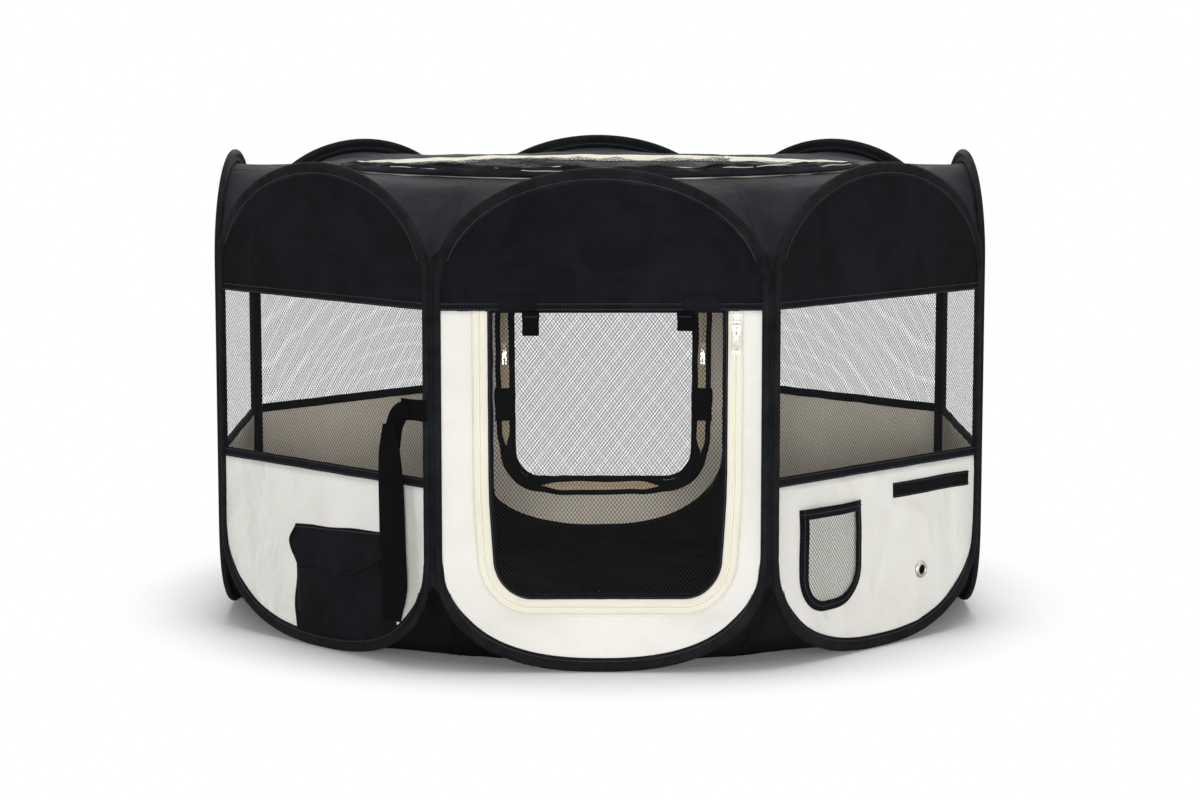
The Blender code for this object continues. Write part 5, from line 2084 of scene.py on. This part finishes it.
@dataclass(frozen=True)
class Studio:
    """The camera at the photograph's angle, soft lamps, and a pale floor that fades to white."""

    camera_place: tuple[float, float, float] = (-0.0193, -3.8437, 0.751)
    pitch: float = radians(7.345)
    yaw: float = radians(-0.3)
    lens: float = 89.64
    floor_reach: float = 14.0

    def camera(self) -> None:
        """Make the camera."""
        lens = bpy.data.cameras.new("photo_camera")
        lens.lens = self.lens
        lens.sensor_width = 36.0
        camera = link("photo_camera", lens)
        camera.location = self.camera_place
        camera.rotation_euler = (pi / 2 - self.pitch, 0.0, self.yaw)
        bpy.context.scene.camera = camera

    def lamp(self, name: str, place: Vector, target: Vector, size: float, power: float) -> None:
        """Make one square soft lamp that looks at a target."""
        light = bpy.data.lights.new(name, "AREA")
        light.size = size
        light.energy = power
        lamp = link(name, light)
        lamp.location = place
        lamp.rotation_euler = (target - place).to_track_quat("-Z", "Y").to_euler()

    def backdrop_white(self, graph: Graph) -> Socket:
        """1 for what the camera, gloss and glass see, and 0 for light that falls on the object."""
        rays = graph.add("ShaderNodeLightPath").outputs
        seen = graph.math("MAXIMUM", rays["Is Camera Ray"], rays["Is Glossy Ray"])
        return graph.math("MAXIMUM", seen, rays["Is Transmission Ray"])

    def sky(self) -> None:
        """Make the world: white to the camera, a soft fill for everything else."""
        world = bpy.data.worlds.new("studio")
        bpy.context.scene.world = world
        world.use_nodes = True
        graph = Graph(world.node_tree)
        background = world.node_tree.nodes["Background"]
        background.inputs["Color"].default_value = (1.0, 1.0, 1.0, 1.0)
        graph.feed(background.inputs["Strength"], graph.rescaled(self.backdrop_white(graph), 0.1, 1.0))

    def ground(self) -> None:
        """Make the floor: pale where the shadow falls, white further out."""
        mesh = bpy.data.meshes.new("studio_floor")
        shape = bmesh.new()
        bmesh.ops.create_grid(shape, x_segments=8, y_segments=8, size=self.floor_reach)
        shape.to_mesh(mesh)
        shape.free()
        floor = link("studio_floor", mesh)
        material, graph, shader, place = open_material("studio_paper")
        grain = graph.noise(place["Object"], 40.0, 3.0)
        pale, white = srgb(249, 249, 249), srgb(254, 254, 254)
        graph.feed(shader.inputs["Base Color"], graph.between(grain, pale, white))
        shader.inputs["Roughness"].default_value = 0.9
        shader.inputs["Specular IOR Level"].default_value = 0.1
        reach = graph.add("ShaderNodeVectorMath", {0: place["Object"]}, operation="LENGTH")
        fade = {"Value": reach.outputs["Value"], "From Min": 0.44, "From Max": 0.64}
        far = graph.add("ShaderNodeMapRange", fade, interpolation_type="SMOOTHSTEP")
        glow = graph.add("ShaderNodeEmission", {"Strength": 1.0})
        share = graph.math("MULTIPLY", far.outputs[0], self.backdrop_white(graph))
        mix = graph.add("ShaderNodeMixShader", {"Fac": share, 1: shader.outputs[0], 2: glow.outputs[0]})
        output = next(node for node in material.node_tree.nodes if node.type == "OUTPUT_MATERIAL")
        graph.feed(output.inputs["Surface"], mix.outputs[0])
        mesh.materials.append(material)

    def build(self) -> None:
        """Make the whole studio."""
        bpy.context.scene.view_settings.view_transform = "Standard"
        self.camera()
        self.sky()
        self.ground()
        middle = at(0, 0, 0.3)
        self.lamp("front", at(0.0, -8.5, 1.3), middle, 1.4, 392)
        self.lamp("left", at(-5.5, -6.0, 1.6), middle, 1.6, 70)
        self.lamp("right", at(5.5, -6.0, 1.6), middle, 1.6, 84)
        self.lamp("back", at(0.0, 7.0, 2.0), middle, 3.0, 230)
        self.lamp("top", at(0.2, 0.2, 3.4), middle, 2.6, 80)


RING = ("front", "front_right", "right", "rear_right", "rear", "rear_left", "left", "front_left")
DOOR_SHIFTS = {"front": 0.009, "rear": -0.009}
DOOR_DRAWS = {
    "front": (-0.0009, 0.0026, -0.001, 0.009, 0.0022),
    "rear": (0.0032, 0.0018, -0.0015, 0.002, -0.005),
}


def main() -> None:
    """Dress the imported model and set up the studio."""
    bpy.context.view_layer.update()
    finishes = Finishes()
    hoop = Hoop.measured()
    sizes = PanelCloth()
    net = NetCloth()
    panels = [Panel(name, eighth, hoop) for eighth, name in enumerate(RING)]
    for panel in panels:
        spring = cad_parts[panel.name + "_hoop_spring"].data.materials
        spring.clear()
        spring.append(finishes.spring)
        Rim().build(panel, finishes)
        UpperBand(sizes).build(panel, finishes)
        if panel.name in DOOR_SHIFTS:
            Door(sizes, net).build(panel, DOOR_SHIFTS[panel.name], finishes)
        else:
            Skirt(sizes).build(panel, finishes)
            NetWindow(sizes, net).build(panel, finishes)
        Floor().build(panel, finishes)
        Roof().build(panel, finishes)
    for panel, following in zip(panels, panels[1:] + panels[:1]):
        CornerSeam().build(panel, following, finishes)
    front_right, front_left = panels[1], panels[-1]
    skirt = Skirt(sizes)
    FlapPocket(skirt).build(front_left, finishes)
    WebbingLoop().build(front_left, finishes)
    BottlePocket(net, skirt).build(front_right, finishes)
    Fastener(skirt).build(front_right, finishes)
    Eyelet(skirt).build(front_right, finishes)
    TopCover(NetCloth(0.0055, 0.007, 0.0009)).build(finishes)
    Studio().build()


if __name__ == "__main__":
    main()
